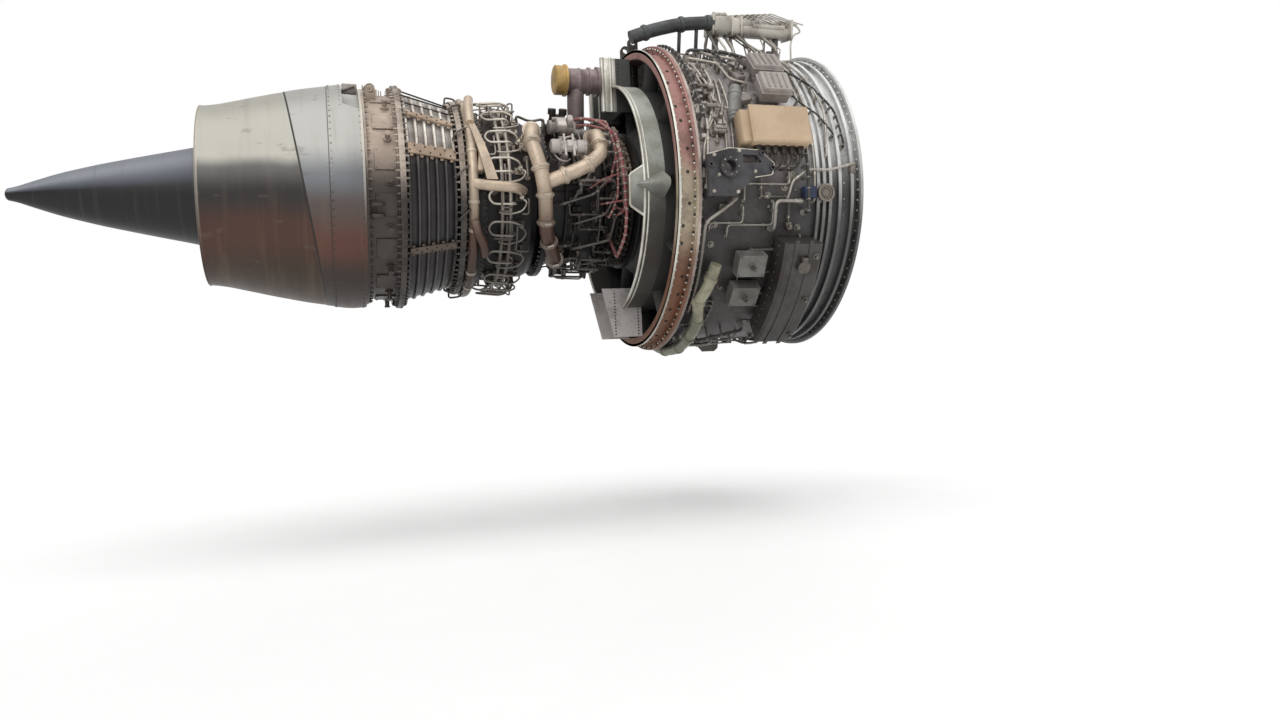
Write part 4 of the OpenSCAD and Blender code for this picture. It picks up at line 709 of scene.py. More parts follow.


# Worn metals and paints: base, stain and dirt colours, metalness, roughness, the heights between which the
# underside darkens (dirt and painted shade) and how much, patch scale, grime, and for some the use of tones
# and the relief
WORN_FINISHES = {
    "hoop_metal": ((88, 88, 87), (78, 78, 77), (16, 15, 15), 0.35, 0.42, (0.12, -0.28), 0.88, 4, 0.4),
    "flange_paint": ((72, 66, 62), (56, 50, 47), (20, 17, 15), 0.2, 0.5, (-0.2, -0.6), 0.6, 8, 0.5),
    "fairing_paint": ((68, 69, 66), (56, 56, 52), (17, 14, 13), 0.05, 0.5, (0.08, -0.2), 0.9, 5, 0.4),
    "lip_metal": ((82, 81, 77), (68, 66, 61), (35, 32, 29), 0.4, 0.4, (-0.3, -0.7), 0.4, 6, 0.35),
    "duct_wall": ((30, 29, 27), (22, 21, 20), (13, 12, 12), 0.1, 0.55, (-0.1, -0.6), 0.6, 4, 0.5),
    "core_metal": ((21.5, 18.5, 17), (14, 11.8, 11.5), (3.5, 3, 3.1), 0.4, 0.5, (0.16, -0.16), 0.9, 7, 0.8),
    "turbine_metal": ((26, 22.5, 21), (18, 15.5, 15), (7, 6.2, 7.2), 0.4, 0.45, (0.22, 0), 0.85, 6, 0.7),
    "rib_metal": ((86, 83.5, 79.5), (74, 70, 66), (12, 11, 11.8), 0.3, 0.42, (0.20, 0.06), 0.93, 9, 0.35),
    "shield_metal": ((60, 58, 55.5), (48, 45, 43), (8.5, 7.8, 9), 0.3, 0.45, (0.20, 0.06), 0.95, 9, 0.45),
    "rail_metal": ((70, 62, 54), (60, 52, 45), (22, 18, 16), 0.25, 0.5, (0, -0.2), 0.85, 9, 0.45),
    "flange_metal": ((66, 61, 56), (48, 43, 39), (12, 10.5, 10), 0.4, 0.45, (0.08, -0.12), 0.88, 12, 0.55),
    "rear_frame_metal": ((67, 61.5, 55.5), (57, 51, 46), (15, 13, 13),
                         0.35, 0.45, (0.16, -0.06), 0.9, 5, 0.4),
    "inner_metal": ((48, 45, 42), (36, 32, 30), (16, 14, 13), 0.6, 0.4, (-0.4, -0.9), 0.3, 8, 0.4),
    "steel": ((64, 62, 58), (52, 49, 46), (20, 18, 17), 0.7, 0.4, (0, -0.5), 0.7, 14, 0.4),
    "light_fittings": ((70, 66, 63), (55, 50, 48), (20, 17, 16),
                       0.35, 0.42, (0.1, -0.2), 0.7, 14, 0.5, True),
    "dark_steel": ((30, 28, 26), (22, 20, 19), (12, 11, 10), 0.5, 0.5, (0.1, -0.4), 0.7, 14, 0.5),
    "bright_bolts": ((80, 78, 73), (62, 59, 54), (28, 25, 22), 0.6, 0.38, (-0.1, -0.6), 0.7, 20, 0.4),
    "fan_pipes": ((70, 68, 63), (54, 50, 46), (20, 18, 17),
                  0.5, 0.4, (0, -0.4), 0.7, 9, 0.45, True, 0.0003),
    "core_pipes": ((46, 41, 37), (32, 27, 25), (12, 10, 10),
                   0.5, 0.42, (0.15, -0.2), 0.75, 9, 0.55, True, 0.0003),
    "fuel_pipes": ((78, 75, 69), (62, 57, 51), (20, 17, 16),
                   0.45, 0.38, (-0.02, -0.25), 0.8, 9, 0.35, True, 0.0003),
    "duct_grey": ((26, 27, 27.5), (19, 19, 19), (10, 9.5, 9.5), 0.1, 0.5, (0.8, 0.6), 0.5, 8, 0.5),
    "valve_paint": ((80, 78, 73), (66, 62, 57), (20, 18, 17), 0.2, 0.5, (0.93, 0.88), 0.6, 14, 0.5, True),
    "tan_paint": ((71, 62, 51.5), (67, 58, 47.5), (42, 33, 24), 0, 0.5, (-0.2, -0.6), 0.4, 5, 0.25),
    "mauve_paint": ((70, 66, 64.5), (60, 55.5, 54), (24, 21, 20),
                    0.1, 0.5, (0.2, -0.2), 0.6, 12, 0.45, True),
    "bracket_paint": ((29, 28.5, 29.5), (22, 21.5, 22), (9, 8, 8), 0.2, 0.42, (-0.3, -0.8), 0.4, 9, 0.5),
    "tank_paint": ((26, 25, 24), (20, 18, 17), (10, 9, 9), 0.3, 0.4, (-0.5, -0.9), 0.5, 7, 0.5),
    "cast_metal": ((46, 45, 42), (36, 34, 31), (15, 14, 13), 0.4, 0.5, (0, -0.6), 0.6, 10, 0.6),
    "grey_paint": ((52, 52, 50), (43, 42, 40), (18, 17, 16), 0.1, 0.5, (-0.1, -0.7), 0.6, 10, 0.5),
    "port_metal": ((56, 50, 49), (44, 38, 38), (20, 17, 17), 0.25, 0.45, (0.6, 0.5), 0.5, 12, 0.45),
    "yellow_cap": ((76, 62, 36), (62, 50, 30), (30, 24, 16), 0, 0.5, (0.55, 0.45), 0.4, 12, 0.4),
    "olive_paint": ((56, 55, 46), (44, 43, 36), (18, 17, 14), 0.1, 0.45, (-0.6, -0.9), 0.5, 9, 0.4),
    "blue_part": ((18, 23, 37), (14, 17, 27), (8, 9, 13), 0.1, 0.4, (-0.3, -0.8), 0.4, 12, 0.4),
    "blade_metal": ((60, 61, 62), (52, 52, 52), (30, 28, 27), 0.75, 0.32, (-0.9, -1.2), 0.2, 9, 0.3),
}
FINISH_MAKERS = {
    "case_metal": case_finish,
    "bifurcation_paint": bifurcation_finish,
    "beige_duct": lambda: duct_metal("beige_duct", (74, 67, 59), (29, 20.5, 17)),
    "pink_sleeve": lambda: sleeve("pink_sleeve", (50, 28, 28), (62, 42, 40)),
    "dark_sleeve": lambda: sleeve("dark_sleeve", (17, 16, 16), (26, 25, 24)),
    "plug_sheet": plug_finish,
    "frame_primer": frame_finish,
    "nozzle_sheet": nozzle_finish,
}


def rotated(first, second, angle):
    """Two directions at right angles, turned in their plane from the first towards the second."""
    c, s = math.cos(angle), math.sin(angle)
    return c * first + s * second, c * second - s * first


def finish(name):
    """The finished material of that name, made on its first use."""
    made = bpy.data.materials.get("worn_" + name)
    if made:
        return made
    return FINISH_MAKERS[name]() if name in FINISH_MAKERS else weathered(name, *WORN_FINISHES[name])


# Finishes of the pieces that are carried over from the frame
NODE_FINISHES = {
    "case_metal": "fan_case",
    "frame_primer": "fan_frame",
    "inner_metal": "guide_vanes combustor_liner fan_disk booster_rotor lpt_rotor hpc_rotor hpt_rotor",
    "bifurcation_paint": "upper_bifurcation lower_bifurcation",
    "duct_wall": "booster_case",
    "core_metal": "hpc_case combustor_case hpt_case",
    "flange_metal": "fuel_nozzles bellcrank unison_rings",
    "turbine_metal": "lpt_case",
    "rear_frame_metal": "turbine_frame",
    "dark_steel": "front_mount flange_bolts",
    "steel": "tank_cap fuel_lever actuator_rod bearings low_shaft",
    "cast_metal": "gearbox fuel_pump lube_unit",
    "grey_paint": "starter hydraulic_pump generator vane_actuator ignition_boxes",
    "plug_sheet": "spinner",
    "bracket_paint": "side_brackets",
    "tank_paint": "oil_tank",
    "valve_paint": "anti_ice_valve",
    "mauve_paint": "bleed_valves",
    "port_metal": "service_bleed_port",
}


class TurbofanSizes(bpy.types.PropertyGroup):
    """Sizes that shape the dressing of the engine."""

    seam_step: FloatProperty(
        name="Seam step", description="Height of a lapped sheet edge", default=0.002, min=0.0005, max=0.004,
        unit="LENGTH")
    rivet_r: FloatProperty(
        name="Rivet radius", description="Radius of a rivet head on the exhaust sheets", default=0.0045,
        min=0.002, max=0.008, unit="LENGTH")
    rivets: IntProperty(
        name="Rivets", description="Rivets in a row round the nozzle", default=90, min=40, max=140)
    vane_levers: IntProperty(
        name="Vane levers", description="Levers in one row on the compressor", default=48, min=20, max=70)
    pipe_clip: FloatProperty(
        name="Clip spacing", description="Distance between clips along a pipe", default=0.15, min=0.05,
        max=0.5, unit="LENGTH")
    floor_drop: FloatProperty(
        name="Floor depth", description="Floor below the shaft axis", default=1.75, min=1.2, max=3.0,
        unit="LENGTH")


class TurbofanColours(bpy.types.PropertyGroup):
    """Colours of the stage."""

    floor: FloatVectorProperty(
        name="Floor", description="Colour of the floor", subtype="COLOR", size=3,
        default=(0.88, 0.88, 0.875), min=0.0, max=1.0)
    sky: FloatVectorProperty(
        name="Backdrop", description="Colour behind the engine", subtype="COLOR", size=3,
        default=(1.0, 1.0, 1.0), min=0.0, max=1.0)


def sizes():
    """The scene's own sizes."""
    return bpy.context.scene.turbofan_sizes


def nozzle_radius(x):
    """Outer radius of the nozzle at station x: a smooth curve through its barrel, its waist and its rim."""
    stations = np.array(
        [X_RIM, X_RIM + 0.07, X_NOZ - 0.436, X_NOZ - 0.286, X_NOZ - 0.086, X_NOZ - 0.04, X_NOZ])
    radii = np.array([
        NOZZLE_RIM_R, NOZZLE_RIM_R + 0.008, NOZZLE_R - 0.062, NOZZLE_R - 0.030, NOZZLE_R + 0.002,
        NOZZLE_R + 0.002, NOZZLE_R - 0.004])
    shift = np.linspace(-0.035, 0.035, 7)
    return np.mean([np.interp(np.asarray(x) + s, stations, radii) for s in shift], axis=0)


def nozzle_skin():
    """The two lapped sheets with notch and rim as one closed wall, and the sleeve inside their front."""
    step = sizes().seam_step
    clock = np.linspace(-180, 180, 288, endpoint=False)
    notch = 0.088 * (1 - np.clip((np.abs(clock) - 49) / 4, 0, 1)) ** 0.7
    front = X_NOZ - notch
    ring = np.minimum(np.full(len(clock), X_NOZ - 0.156), front - 0.02)
    diagonal = SEAM_X - 0.083 * np.cos(np.radians(clock))
    rim = np.full(len(clock), X_RIM)
    x, r = [], []
    for start, stop, n, lap in (
            (front, ring, 8, 0.0), (ring - 0.0005, diagonal, 8, -0.6), (diagonal - 0.0005, rim, 30, -1.5)):
        s = np.linspace(0, 1, n)[:, None]
        x.append(start * (1 - s) + stop * s)
        r.append(nozzle_radius(x[-1]) + lap * step)
    x, r = np.concatenate(x), np.concatenate(r)
    roll = np.radians([[0], [60], [120], [180]])
    lip = at(X_RIM - 0.004 * np.sin(roll) + 0 * clock, clock, NOZZLE_RIM_R - 0.005 + 0.006 * np.cos(roll))
    inner = at(x[::-1], clock, r[::-1] - NOZZLE_WALL + 0.003)
    shell = Shell()
    shell.grid(np.concatenate([at(x, clock, r), lip, inner]).transpose(1, 0, 2), rows=True)
    shell.turned([
        (X_NOZ, TRF_R - 0.008), (X_NOZ, 0.545), (X_NOZ - 0.010, 0.545), (X_NOZ - 0.010, TRF_R - 0.002),
        (X_NOZ - 0.12, TRF_R + 0.006), (X_NOZ - 0.175, NOZZLE_R - 0.017), (X_NOZ - 0.19, NOZZLE_R - 0.020),
        (X_NOZ - 0.13, TRF_R)], 180)
    shell.build("nozzle_skin", "nozzle_sheet", slot="nozzle_sheet", nodes=["exhaust_nozzle"])


def nozzle_rivets():
    """A row of rivets ahead of the lap, free at the top, and one along the front edge and its notch."""
    rivets = Shell()
    count = sizes().rivets
    turn = (np.arange(count) + 0.5) * 360 / count
    off_top = np.abs((turn + 180) % 360 - 180)
    for keep, x, r, h in (
            (off_top > 10, np.full(count, X_NOZ - 0.148), sizes().rivet_r, 0.0025),
            (off_top >= 0, np.where(off_top < 54, X_NOZ - 0.10, X_NOZ - 0.014), 0.0035, 0.002)):
        rivets.heads(at(x, turn, nozzle_radius(x))[keep], at(0, turn, 1.0)[keep], r, h, 8)
    rivets.build("nozzle_rivets", "flange_metal", slot="nozzle_sheet")


def nozzle_hook():
    """The hook's two cheeks and pin over a curved pad, on top of the front edge."""
    hook = Shell()
    place = seat(X_NOZ - 0.03, 0, NOZZLE_R - 0.03)
    hook.blocks(
        place, ((0.075, 0.012, 0.05), (-0.0125, -0.039, 0)), ((0.075, 0.012, 0.05), (-0.0125, 0.039, 0)))
    hook.tube(place[0] + np.array([[-0.015, -0.052, 0.034], [-0.015, 0.052, 0.034]]), 0.009, 12)
    hook.turned(
        [(X_NOZ - 0.085, 0.548), (X_NOZ - 0.02, 0.572), (X_NOZ - 0.016, 0.568), (X_NOZ - 0.08, 0.542)], 12,
        -7, 7)
    hook.build("nozzle_hook", "light_fittings", slot="nozzle_sheet")


class TURBOFAN_OT_nozzle(bpy.types.Operator):
    """Exhaust nozzle: two lapped sheets with a notch, a rolled rim, rivet rows and the inner sleeve"""

    bl_idname = "turbofan.nozzle"
    bl_label = "Exhaust nozzle"

    def execute(self, context):
        nozzle_skin()
        nozzle_rivets()
        nozzle_hook()
        return {"FINISHED"}


def plug_sheets():
    """Two turned sheets along smoothed outlines, with their screws and a tip band."""
    outline = np.array([
        (X_NOZ, PLUG_R - 0.016), (X_NOZ - 0.06, PLUG_R + 0.004), (X_NOZ - 0.18, PLUG_R + 0.014),
        (X_NOZ - 0.32, PLUG_R + 0.006), (X_NOZ - 0.46, PLUG_R - 0.018), (X_PLUG, PLUG_JOINT_R)])
    x = np.linspace(X_NOZ, X_PLUG + 0.001, 30)
    r = np.interp(-x, -outline[:, 0], outline[:, 1])
    front = np.concatenate([np.stack([x, r], -1), np.stack([x[::-1], r[::-1] - 0.006], -1)])
    shell = Shell()
    shell.turned(front, 180)
    tail = np.array([
        (X_PLUG, PLUG_JOINT_R), (X_PLUG - 0.22, 0.236), (X_PLUG - 0.45, 0.188), (X_PLUG - 0.64, 0.146),
        (X_PLUG - 0.81, 0.101), (X_PLUG - 0.97, 0.045), (X_TIP + 0.02, 0.024)])
    x = np.linspace(X_PLUG - 0.001, X_TIP + 0.02, 60)
    smooth = np.mean(
        [np.interp(-x + s, -tail[:, 0], tail[:, 1]) for s in np.linspace(-0.05, 0.05, 9)], axis=0)
    smooth = np.where(x > X_PLUG - 0.05, np.interp(-x, -tail[:, 0], tail[:, 1]), smooth)
    turn = np.radians(np.linspace(15, 88, 6))
    tip = np.stack([X_TIP + 0.02 - 0.02 * np.sin(turn), smooth[-1] * np.cos(turn)], -1)
    wall = np.concatenate([np.stack([x, smooth], -1), tip])
    inner = np.stack([x[::-1], np.maximum(smooth[::-1] - 0.006, 0.002)], -1)
    cone = Shell()
    cone.turned(np.concatenate([wall, inner]), 180)
    cone.build("plug_cone", "plug_sheet", slot="plug_sheet", nodes=["plug_rear"])
    shell.build("plug_barrel", "plug_sheet", slot="plug_sheet", nodes=["plug_front"])
    trim = Shell()
    for where in (X_PLUG + 0.02, X_PLUG - 0.02):
        radius = np.interp(-where, -tail[:, 0], tail[:, 1]) + (0.003 if where > X_PLUG else 0.0)
        trim.bolt_circle(where, radius, 48, 0.005, 0.002, 8)
    trim.turned(
        [(X_TIP + 0.42, 0.1285), (X_TIP + 0.42, 0.1325), (X_TIP + 0.40, 0.128), (X_TIP + 0.40, 0.124)], 90)
    trim.build("plug_screws", "dark_steel", slot="plug_sheet")


class TURBOFAN_OT_plug(bpy.types.Operator):
    """Plug: two smooth turned sheets with a joint ring, screws and a rounded tip"""

    bl_idname = "turbofan.plug"
    bl_label = "Exhaust plug"

    def execute(self, context):
        plug_sheets()
        return {"FINISHED"}


def cooling_hoops():
    """Six hat-shaped hoops at an even pitch, with a flatter heat shield between each two."""
    first = X_LPT - 0.031
    pitch = (first - (X_TRF + 0.031)) / 5
    hoops, shields = Shell(), Shell()
    for i in range(6):
        x = first - pitch * i
        hat = mm((-8.5, 3), (-7.5, 16), (-4, 20.5), (4, 20.5), (7.5, 16), (8.5, 3), (4, 2), (-4, 2))
        hoops.turned([(x + dx, float(core_base(x)) + dr) for dx, dr in hat], 120)
        if i:
            x = x + pitch / 2
            hat = mm((-13.5, 3), (-13, 8), (-5, 10), (5, 10), (13, 8), (13.5, 3), (5, 2), (-5, 2))
            shields.turned([(x + dx, float(core_base(x + dx)) + dr) for dx, dr in hat], 120)
    hoops.build("cooling_hoops", "rib_metal", slot="cooling_tube", nodes=["lpt_cooling_tubes"])
    shields.build("heat_shields", "shield_metal", slot="cooling_tube")


def feed_rails():
    """Rails along the cone of the turbine case on bolted cross feet, and three thin tubes beside the top."""
    rails, bolts = Shell(), Shell()
    ends = np.array([X_LPT - 0.026, X_TRF + 0.028])
    for a in (52, 75, -52, -75, 128, -128):
        path = at(ends, a, core_base(ends) + 0.034)
        along = unit(path[1] - path[0])
        out = unit(at(0, a, 1.0) - along * np.dot(at(0, a, 1.0), along))
        place = (path[0], np.stack([along, np.cross(out, along), out]))
        length = float(np.linalg.norm(path[1] - path[0]))
        wide = 0.052 if abs(a) == 75 else 0.032
        rails.block(place, (length, wide, 0.014), (length / 2, 0, -0.008), 0.003, 0.6)
        for k in range(5):
            d = 0.02 + (length - 0.04) * k / 4
            rails.block(place, (0.016, wide + 0.022, 0.008), (d, 0, -0.012), 0.002, 0.4)
            for side in (-1, 1):
                bolts.heads(
                    shift(place, d + 0.012 * side, 0.25 * wide * side, 0.0055)[0], out, 0.0042, 0.005)
    rails.build("feed_rails", "rail_metal", slot="manifold_beige", nodes=["cooling_rails"])
    x = np.linspace(X_LPT - 0.02, X_TRF + 0.02, 12)
    for a in (14, 27, 37):
        bolts.tube(at(x, a + np.linspace(0, 3, 12), core_base(x) + 0.034 - 0.0004 * a), 0.0045, 8)
    bolts.build("rail_bolts", "dark_steel", slot="bolt_steel")


def turbine_nuts():
    """Bolts through the turbine's three flanges, with bands of studs over two of them."""
    nuts = Shell()
    for x, r, n, face in (
            (X_TRF + 0.014, 0.553, 96, 1), (X_TRF - 0.014, 0.553, 96, -1), (X_LPT - 0.014, 0.486, 84, -1),
            (X_LPT + 0.014, 0.486, 84, 1), (X_NOZ + 0.012, 0.533, 72, 1)):
        nuts.bolt_circle(x, r, n, 0.0062, 0.011, 6, face, 0.25)
        nuts.bolt_circle(x + face * 0.009, r, n, 0.0034, 0.010, 8, face, 0.25)
    nuts.bolt_circle(X_TRF + 0.007, 0.566, 96, 0.007, 0.004, 4, phase=0)
    nuts.bolt_circle(X_LPT, 0.499, 96, 0.007, 0.004, 4, phase=0)
    for x, r in ((X_TRF, 0.5683), (X_LPT, 0.5013)):
        nuts.turned(
            [(x - 0.0135, r - 0.008), (x - 0.0135, r), (x + 0.0135, r), (x + 0.0135, r - 0.008)], 144)
    nuts.build("turbine_nuts", "flange_metal", slot="bolt_steel")


def rear_frame_fittings():
    """Bolted pads and bosses round the rear frame, and a fan of thin wires at the top."""
    fittings = Shell()
    x = X_TRF - 0.075
    for a in range(32, 340, 24):
        fittings.block(seat(x, a, TRF_R), (0.10, 0.11, 0.006), (0, 0, -0.001), 0.003)
        fittings.heads([at(x + dx, a + da, TRF_R + 0.005) for dx in (-0.04, 0.04) for da in (-5, 5)],
                       at(0, a, 1.0), 0.005, 0.005)
        fittings.drum(seat(X_TRF - 0.06, a + 12, TRF_R - 0.002), mm(
            (0, 20), (12, 20), (13, 12), (40, 11), (42, 14), (50, 14)), 14)
    for k in range(9):
        fittings.tube(at(X_TRF - 0.05 - 0.012 * k, -4 + k * 1.2, [TRF_R, TRF_R + 0.06]), 0.003, 6)
    fittings.build("rear_frame_fittings", "rear_frame_metal", slot="rear_frame")


class TURBOFAN_OT_turbine(bpy.types.Operator):
    """Turbine casing: hat-shaped cooling hoops, feed rails, flange nuts and the rear frame's fittings"""

    bl_idname = "turbofan.turbine"
    bl_label = "Turbine casing"

    def execute(self, context):
        cooling_hoops()
        feed_rails()
        turbine_nuts()
        rear_frame_fittings()
        return {"FINISHED"}


def turbine_ring():
    """The manifold round the turbine with its feet, bands, elbows and the cover of its side branch."""
    ring = Shell()
    x0, r0 = X_HPT - 0.05, HPT_R + 0.046
    ring.turned(circle(x0, r0, 0.024, 16), 160, tone=0.3)
    for a in range(20, 380, 45):
        ring.drum(seat(x0, a, HPT_R), mm((0, 20), (6, 20), (7, 12), (34, 12)), 14, tone=0.3)
        for off in (-8, 8):
            ring.tube(at(x0, np.linspace(a + off - 0.9, a + off + 0.9, 3), r0), 0.0275, 16, 0.9)
    s = np.linspace(0, 1, 14)
    centre = at(x0 + 0.004 + 0.083 * s, 54 + 36 * s, r0 + 0.03)
    half = (0.014 + 0.013 * s)[:, None] * np.array([[1.0, 0.0, 0.0]])
    rise = at(0, 54 + 36 * s, 0.007)
    ring.grid(np.stack(
        [centre - half - rise, centre - half + rise, centre + half + rise, centre + half - rise],
        1), tone=0.45)
    bend = through((x0 + 0.02, 34, r0 + 0.05), (x0 + 0.006, 44, r0 + 0.04), (x0 + 0.004, 56, r0 + 0.03))
    ring.tube(soften(bend, 0.05), 0.024, 14, 0.5)
    tail = through(
        (x0, 112, r0 + 0.02), (x0 + 0.012, 118, r0 + 0.03), (x0 + 0.05, 126, r0 + 0.03),
        (x0 + 0.06, 134, r0))
    ring.tube(soften(tail, 0.04), 0.022, 14, 0.2)
    ring.tube(route(
        [(x0, 92, 0.06), (x0 + 0.06, 93, 0.104), (x0 + 0.2, 94, 0.104), (x0 + 0.25, 95, 0.03)], core_base,
        0.05), 0.026, 16, 0.3)
    ring.block(seat(x0 + 0.045, 76, HPT_R + 0.01, -8), (0.03, 0.16, 0.05), edge=0.005)
    ring.build("turbine_ring", "beige_duct", slot="manifold_beige", nodes=["turbine_manifold"])


def fuel_lines():
    """Two fuel manifolds, and for each injector two looped pigtails, a bracket and a union."""
    fuel = Shell()
    x_inj = X_COMB - 0.14
    for dx in (-0.055, -0.095):
        fuel.turned(circle(x_inj + dx, COMB_R + 0.048, 0.009), 160, tone=0.75)
    long_loop = (
        (0, 0, 0.055), (-0.01, -2, 0.088), (-0.05, -4, 0.098), (-0.15, -4, 0.088), (-0.172, 0, 0.085),
        (-0.15, 4, 0.088), (-0.05, 4, 0.098), (-0.03, 4, 0.07), (-0.055, 3, 0.052))
    short_loop = (
        (0, 0.5, 0.05), (0.025, 3, 0.07), (0, 8, 0.08), (-0.07, 10, 0.082), (-0.12, 9, 0.075),
        (-0.095, 8, 0.052))
    for i in range(20):
        a = 18 * (i + 0.5)
        for loop, r, tone in ((long_loop, 0.0055, 0.9), (short_loop, 0.0045, 0.7)):
            stops = [(x_inj + dx, a + da, h) for dx, da, h in loop]
            fuel.tube(route(stops, core_base, 0.03), r, 8, tone)
        fuel.block(seat(x_inj - 0.075, a + 9, COMB_R), (0.06, 0.016, 0.048), edge=0.003)
        fuel.tube(at(x_inj, a, COMB_R + np.array([0.046, 0.05, 0.052, 0.066])),
                  np.array([0.012, 0.012, 0.0085, 0.0085]), 6, 0.9)
    fuel.build("fuel_lines", "fuel_pipes", slot="fuel_fittings", nodes=["fuel_manifold"])


def combustor_bosses():
    """Bosses and probes on the combustor case, and the bolts of its flanges."""
    bosses = Shell()
    for i in range(20):
        a = 18 * i
        bosses.drum(seat(X_COMB - 0.2, a + 9, COMB_R - 0.001), mm((0, 17), (9, 17), (10, 10), (18, 10)), 12)
        if i % 4 == 1:
            bosses.drum(seat(X_COMB - 0.27, a + 4, COMB_R - 0.001), mm(
                (0, 26), (12, 26), (13, 20), (30, 20), (32, 12), (50, 10)), 16)
    for x, r, n, face in (
            (X_HPT + 0.014, COMB_R + 0.026, 90, 1), (X_COMB + 0.012, 0.395, 72, 1),
            (X_COMB - 0.014, 0.395, 72, -1)):
        bosses.bolt_circle(x, r, n, 0.006, 0.010, face=face)
    bosses.bolt_circle(X_HPT + 0.007, COMB_R + 0.037, 80, 0.006, 0.003, 4)
    bosses.build("combustor_bosses", "flange_metal", slot="core_metal")


class TURBOFAN_OT_hot_section(bpy.types.Operator):
    """Manifold round the turbine, fuel manifolds with looped pigtails, and bosses on the combustor case"""

    bl_idname = "turbofan.hot_section"
    bl_label = "Combustor and manifolds"

    def execute(self, context):
        turbine_ring()
        fuel_lines()
        combustor_bosses()
        return {"FINISHED"}


def bleed_ducts():
    """The two legs with beaded joints and band clamps, and their flanged feet on the core."""
    duct = Shell()
    high = 0.18
    tee = -1.605
    elbow = [(tee + 0.008, 92, high), (-1.4, 84, high + 0.06), (-1.318, 78, high + 0.08),
             (-1.318, 66, high + 0.06), (-1.33, 60, high - 0.04), (-1.33, 60, 0.03)]
    drop = [(-1.638, 58, 0.03), (-1.64, 62, high - 0.02), (-1.666, 71, high), (-1.625, 86, high),
            (tee, 98, high), (-1.595, 116, high), (-1.52, 138, high - 0.03), (-1.496, 148, 0.09),
            (-1.496, 148, 0.03)]
    bead = mm((-13, 36), (-12, 41), (-4, 42), (-3, 47), (3, 47), (4, 42), (12, 41), (13, 36))
    for stops in (elbow, drop):
        path = route(stops, core_base, 0.055, 9.0)
        duct.tube(path, 0.0355, 20, 0.3)
        for p, way in spaced(path, 0.10, 0.05, 0.135):
            duct.lathe(p, way, bead, 20, 0.75)
            out = at(0, clock_of(p), 1.0)
            duct.collar(p + out * 0.047, unit(np.cross(way, out)), 0.016, 0.006, 6, 0.95)
    for x, a in ((-1.33, 60), (-1.638, 58), (-1.496, 148)):
        place = seat(x, a, float(core_base(x)) - 0.002)
        duct.drum(place, mm((0, 52), (10, 52), (11, 40), (50, 38)), 20, tone=0.6)
        duct.heads(dots(shift(place, 0, 0, 0.010), 0.046, 8), place[1][2], 0.004, 0.006)
    duct.build("bleed_pipes", "beige_duct", slot="duct_beige", nodes=["bleed_duct", "duct_couplings"])


def bleed_valves():
    """The flanged valve between the legs, and the smaller one behind it."""
    valves = Shell()
    place = seat(0, 74, 0.585)
    for x, length in ((-1.57, 0.056), (-1.44, 0.05)):
        profile = [
            (0, 0.02), (0.003, 0.03), (0.012, 0.034), (length - 0.012, 0.034), (length - 0.01, 0.038),
            (length - 0.002, 0.038), (length, 0.03)]
        valves.drum(shift(place, x), profile, 24, 0, 0.6)
        face = shift(place, x + length - 0.006)
        rim = dots(face, 0.038, 10, 0)
        valves.heads(rim, rim - face[0], 0.004, 0.004)
    valves.blocks(
        place, ((0.082, 0.05, 0.034), (-1.476, 0, -0.016), 0.006, 0.9),
        ((0.03, 0.036, 0.05), (-1.477, 0, -0.012), 0.005, 0.8),
        ((0.012, 0.12, 0.01), (-1.499, 0, 0.012), 0.003, 0.9),
        ((0.012, 0.12, 0.01), (-1.456, 0, 0.012), 0.003, 0.9))
    valves.block(
        (at(-1.49, 74, core_base(-1.49)), place[1]), (0.028, 0.028, 0.16), (0.014, 0, 0), 0.003, 0.3)
    for r, stops in (
            (0.005, [(-1.50, 71, 0.215), (-1.49, 69, 0.24), (-1.45, 67, 0.235), (-1.41, 69, 0.20)]),
            (0.004, [(-1.55, 76, 0.215), (-1.53, 80, 0.225), (-1.49, 81, 0.22), (-1.46, 78, 0.19)])):
        valves.tube(route(stops, core_base, 0.03), r, 8, 1.0)
    valves.build("bleed_valve_set", "mauve_paint", slot="valve_mauve", nodes=["bleed_valves"])
    body = Shell()
    place = seat(0, 57, 0.525)
    profile = mm(
        (0, 20), (3, 34), (18, 34), (20, 27), (60, 27), (62, 38), (74, 38), (76, 28), (120, 28), (122, 34),
        (136, 34), (138, 20))
    body.drum(shift(place, -1.55), profile, 24, 0)
    body.blocks(
        place, ((0.05, 0.06, 0.05), (-1.49, -0.02, 0.01), 0.006, 0.9),
        ((0.03, 0.04, 0.06), (-1.445, 0, 0.01), 0.005, 0.8),
        ((0.09, 0.012, 0.016), (-1.485, 0.026, 0.024), 0.003, 0.9))
    body.block((at(-1.48, 57, core_base(-1.48)), place[1]), (0.03, 0.03, 0.12), (0.015, 0, 0), 0.003, 0.3)
    body.build("valve_bodies", "light_fittings", slot="valve_mauve")


def valve_stack():
    """Dark blocks and turned fittings of many heights above the valves."""
    dark = Shell()
    draw = np.random.default_rng(17)
    for k in range(26):
        a, x = draw.uniform(24, 46), draw.uniform(-1.50, -1.38)
        tall = draw.uniform(0.07, 0.17)
        place = seat(x, a, float(core_base(x)) - 0.002, draw.uniform(-25, 25))
        tone = draw.uniform(0, 1)
        if k % 2:
            dark.drum(place, [
                (0, 0.014), (tall - 0.03, 0.014), (tall - 0.029, 0.022), (tall, 0.022)], 14, tone=tone)
        else:
            dark.block(place, (0.03, 0.034, tall), tone=tone)
    dark.build("valve_stack", "core_metal", slot="valve_mauve")


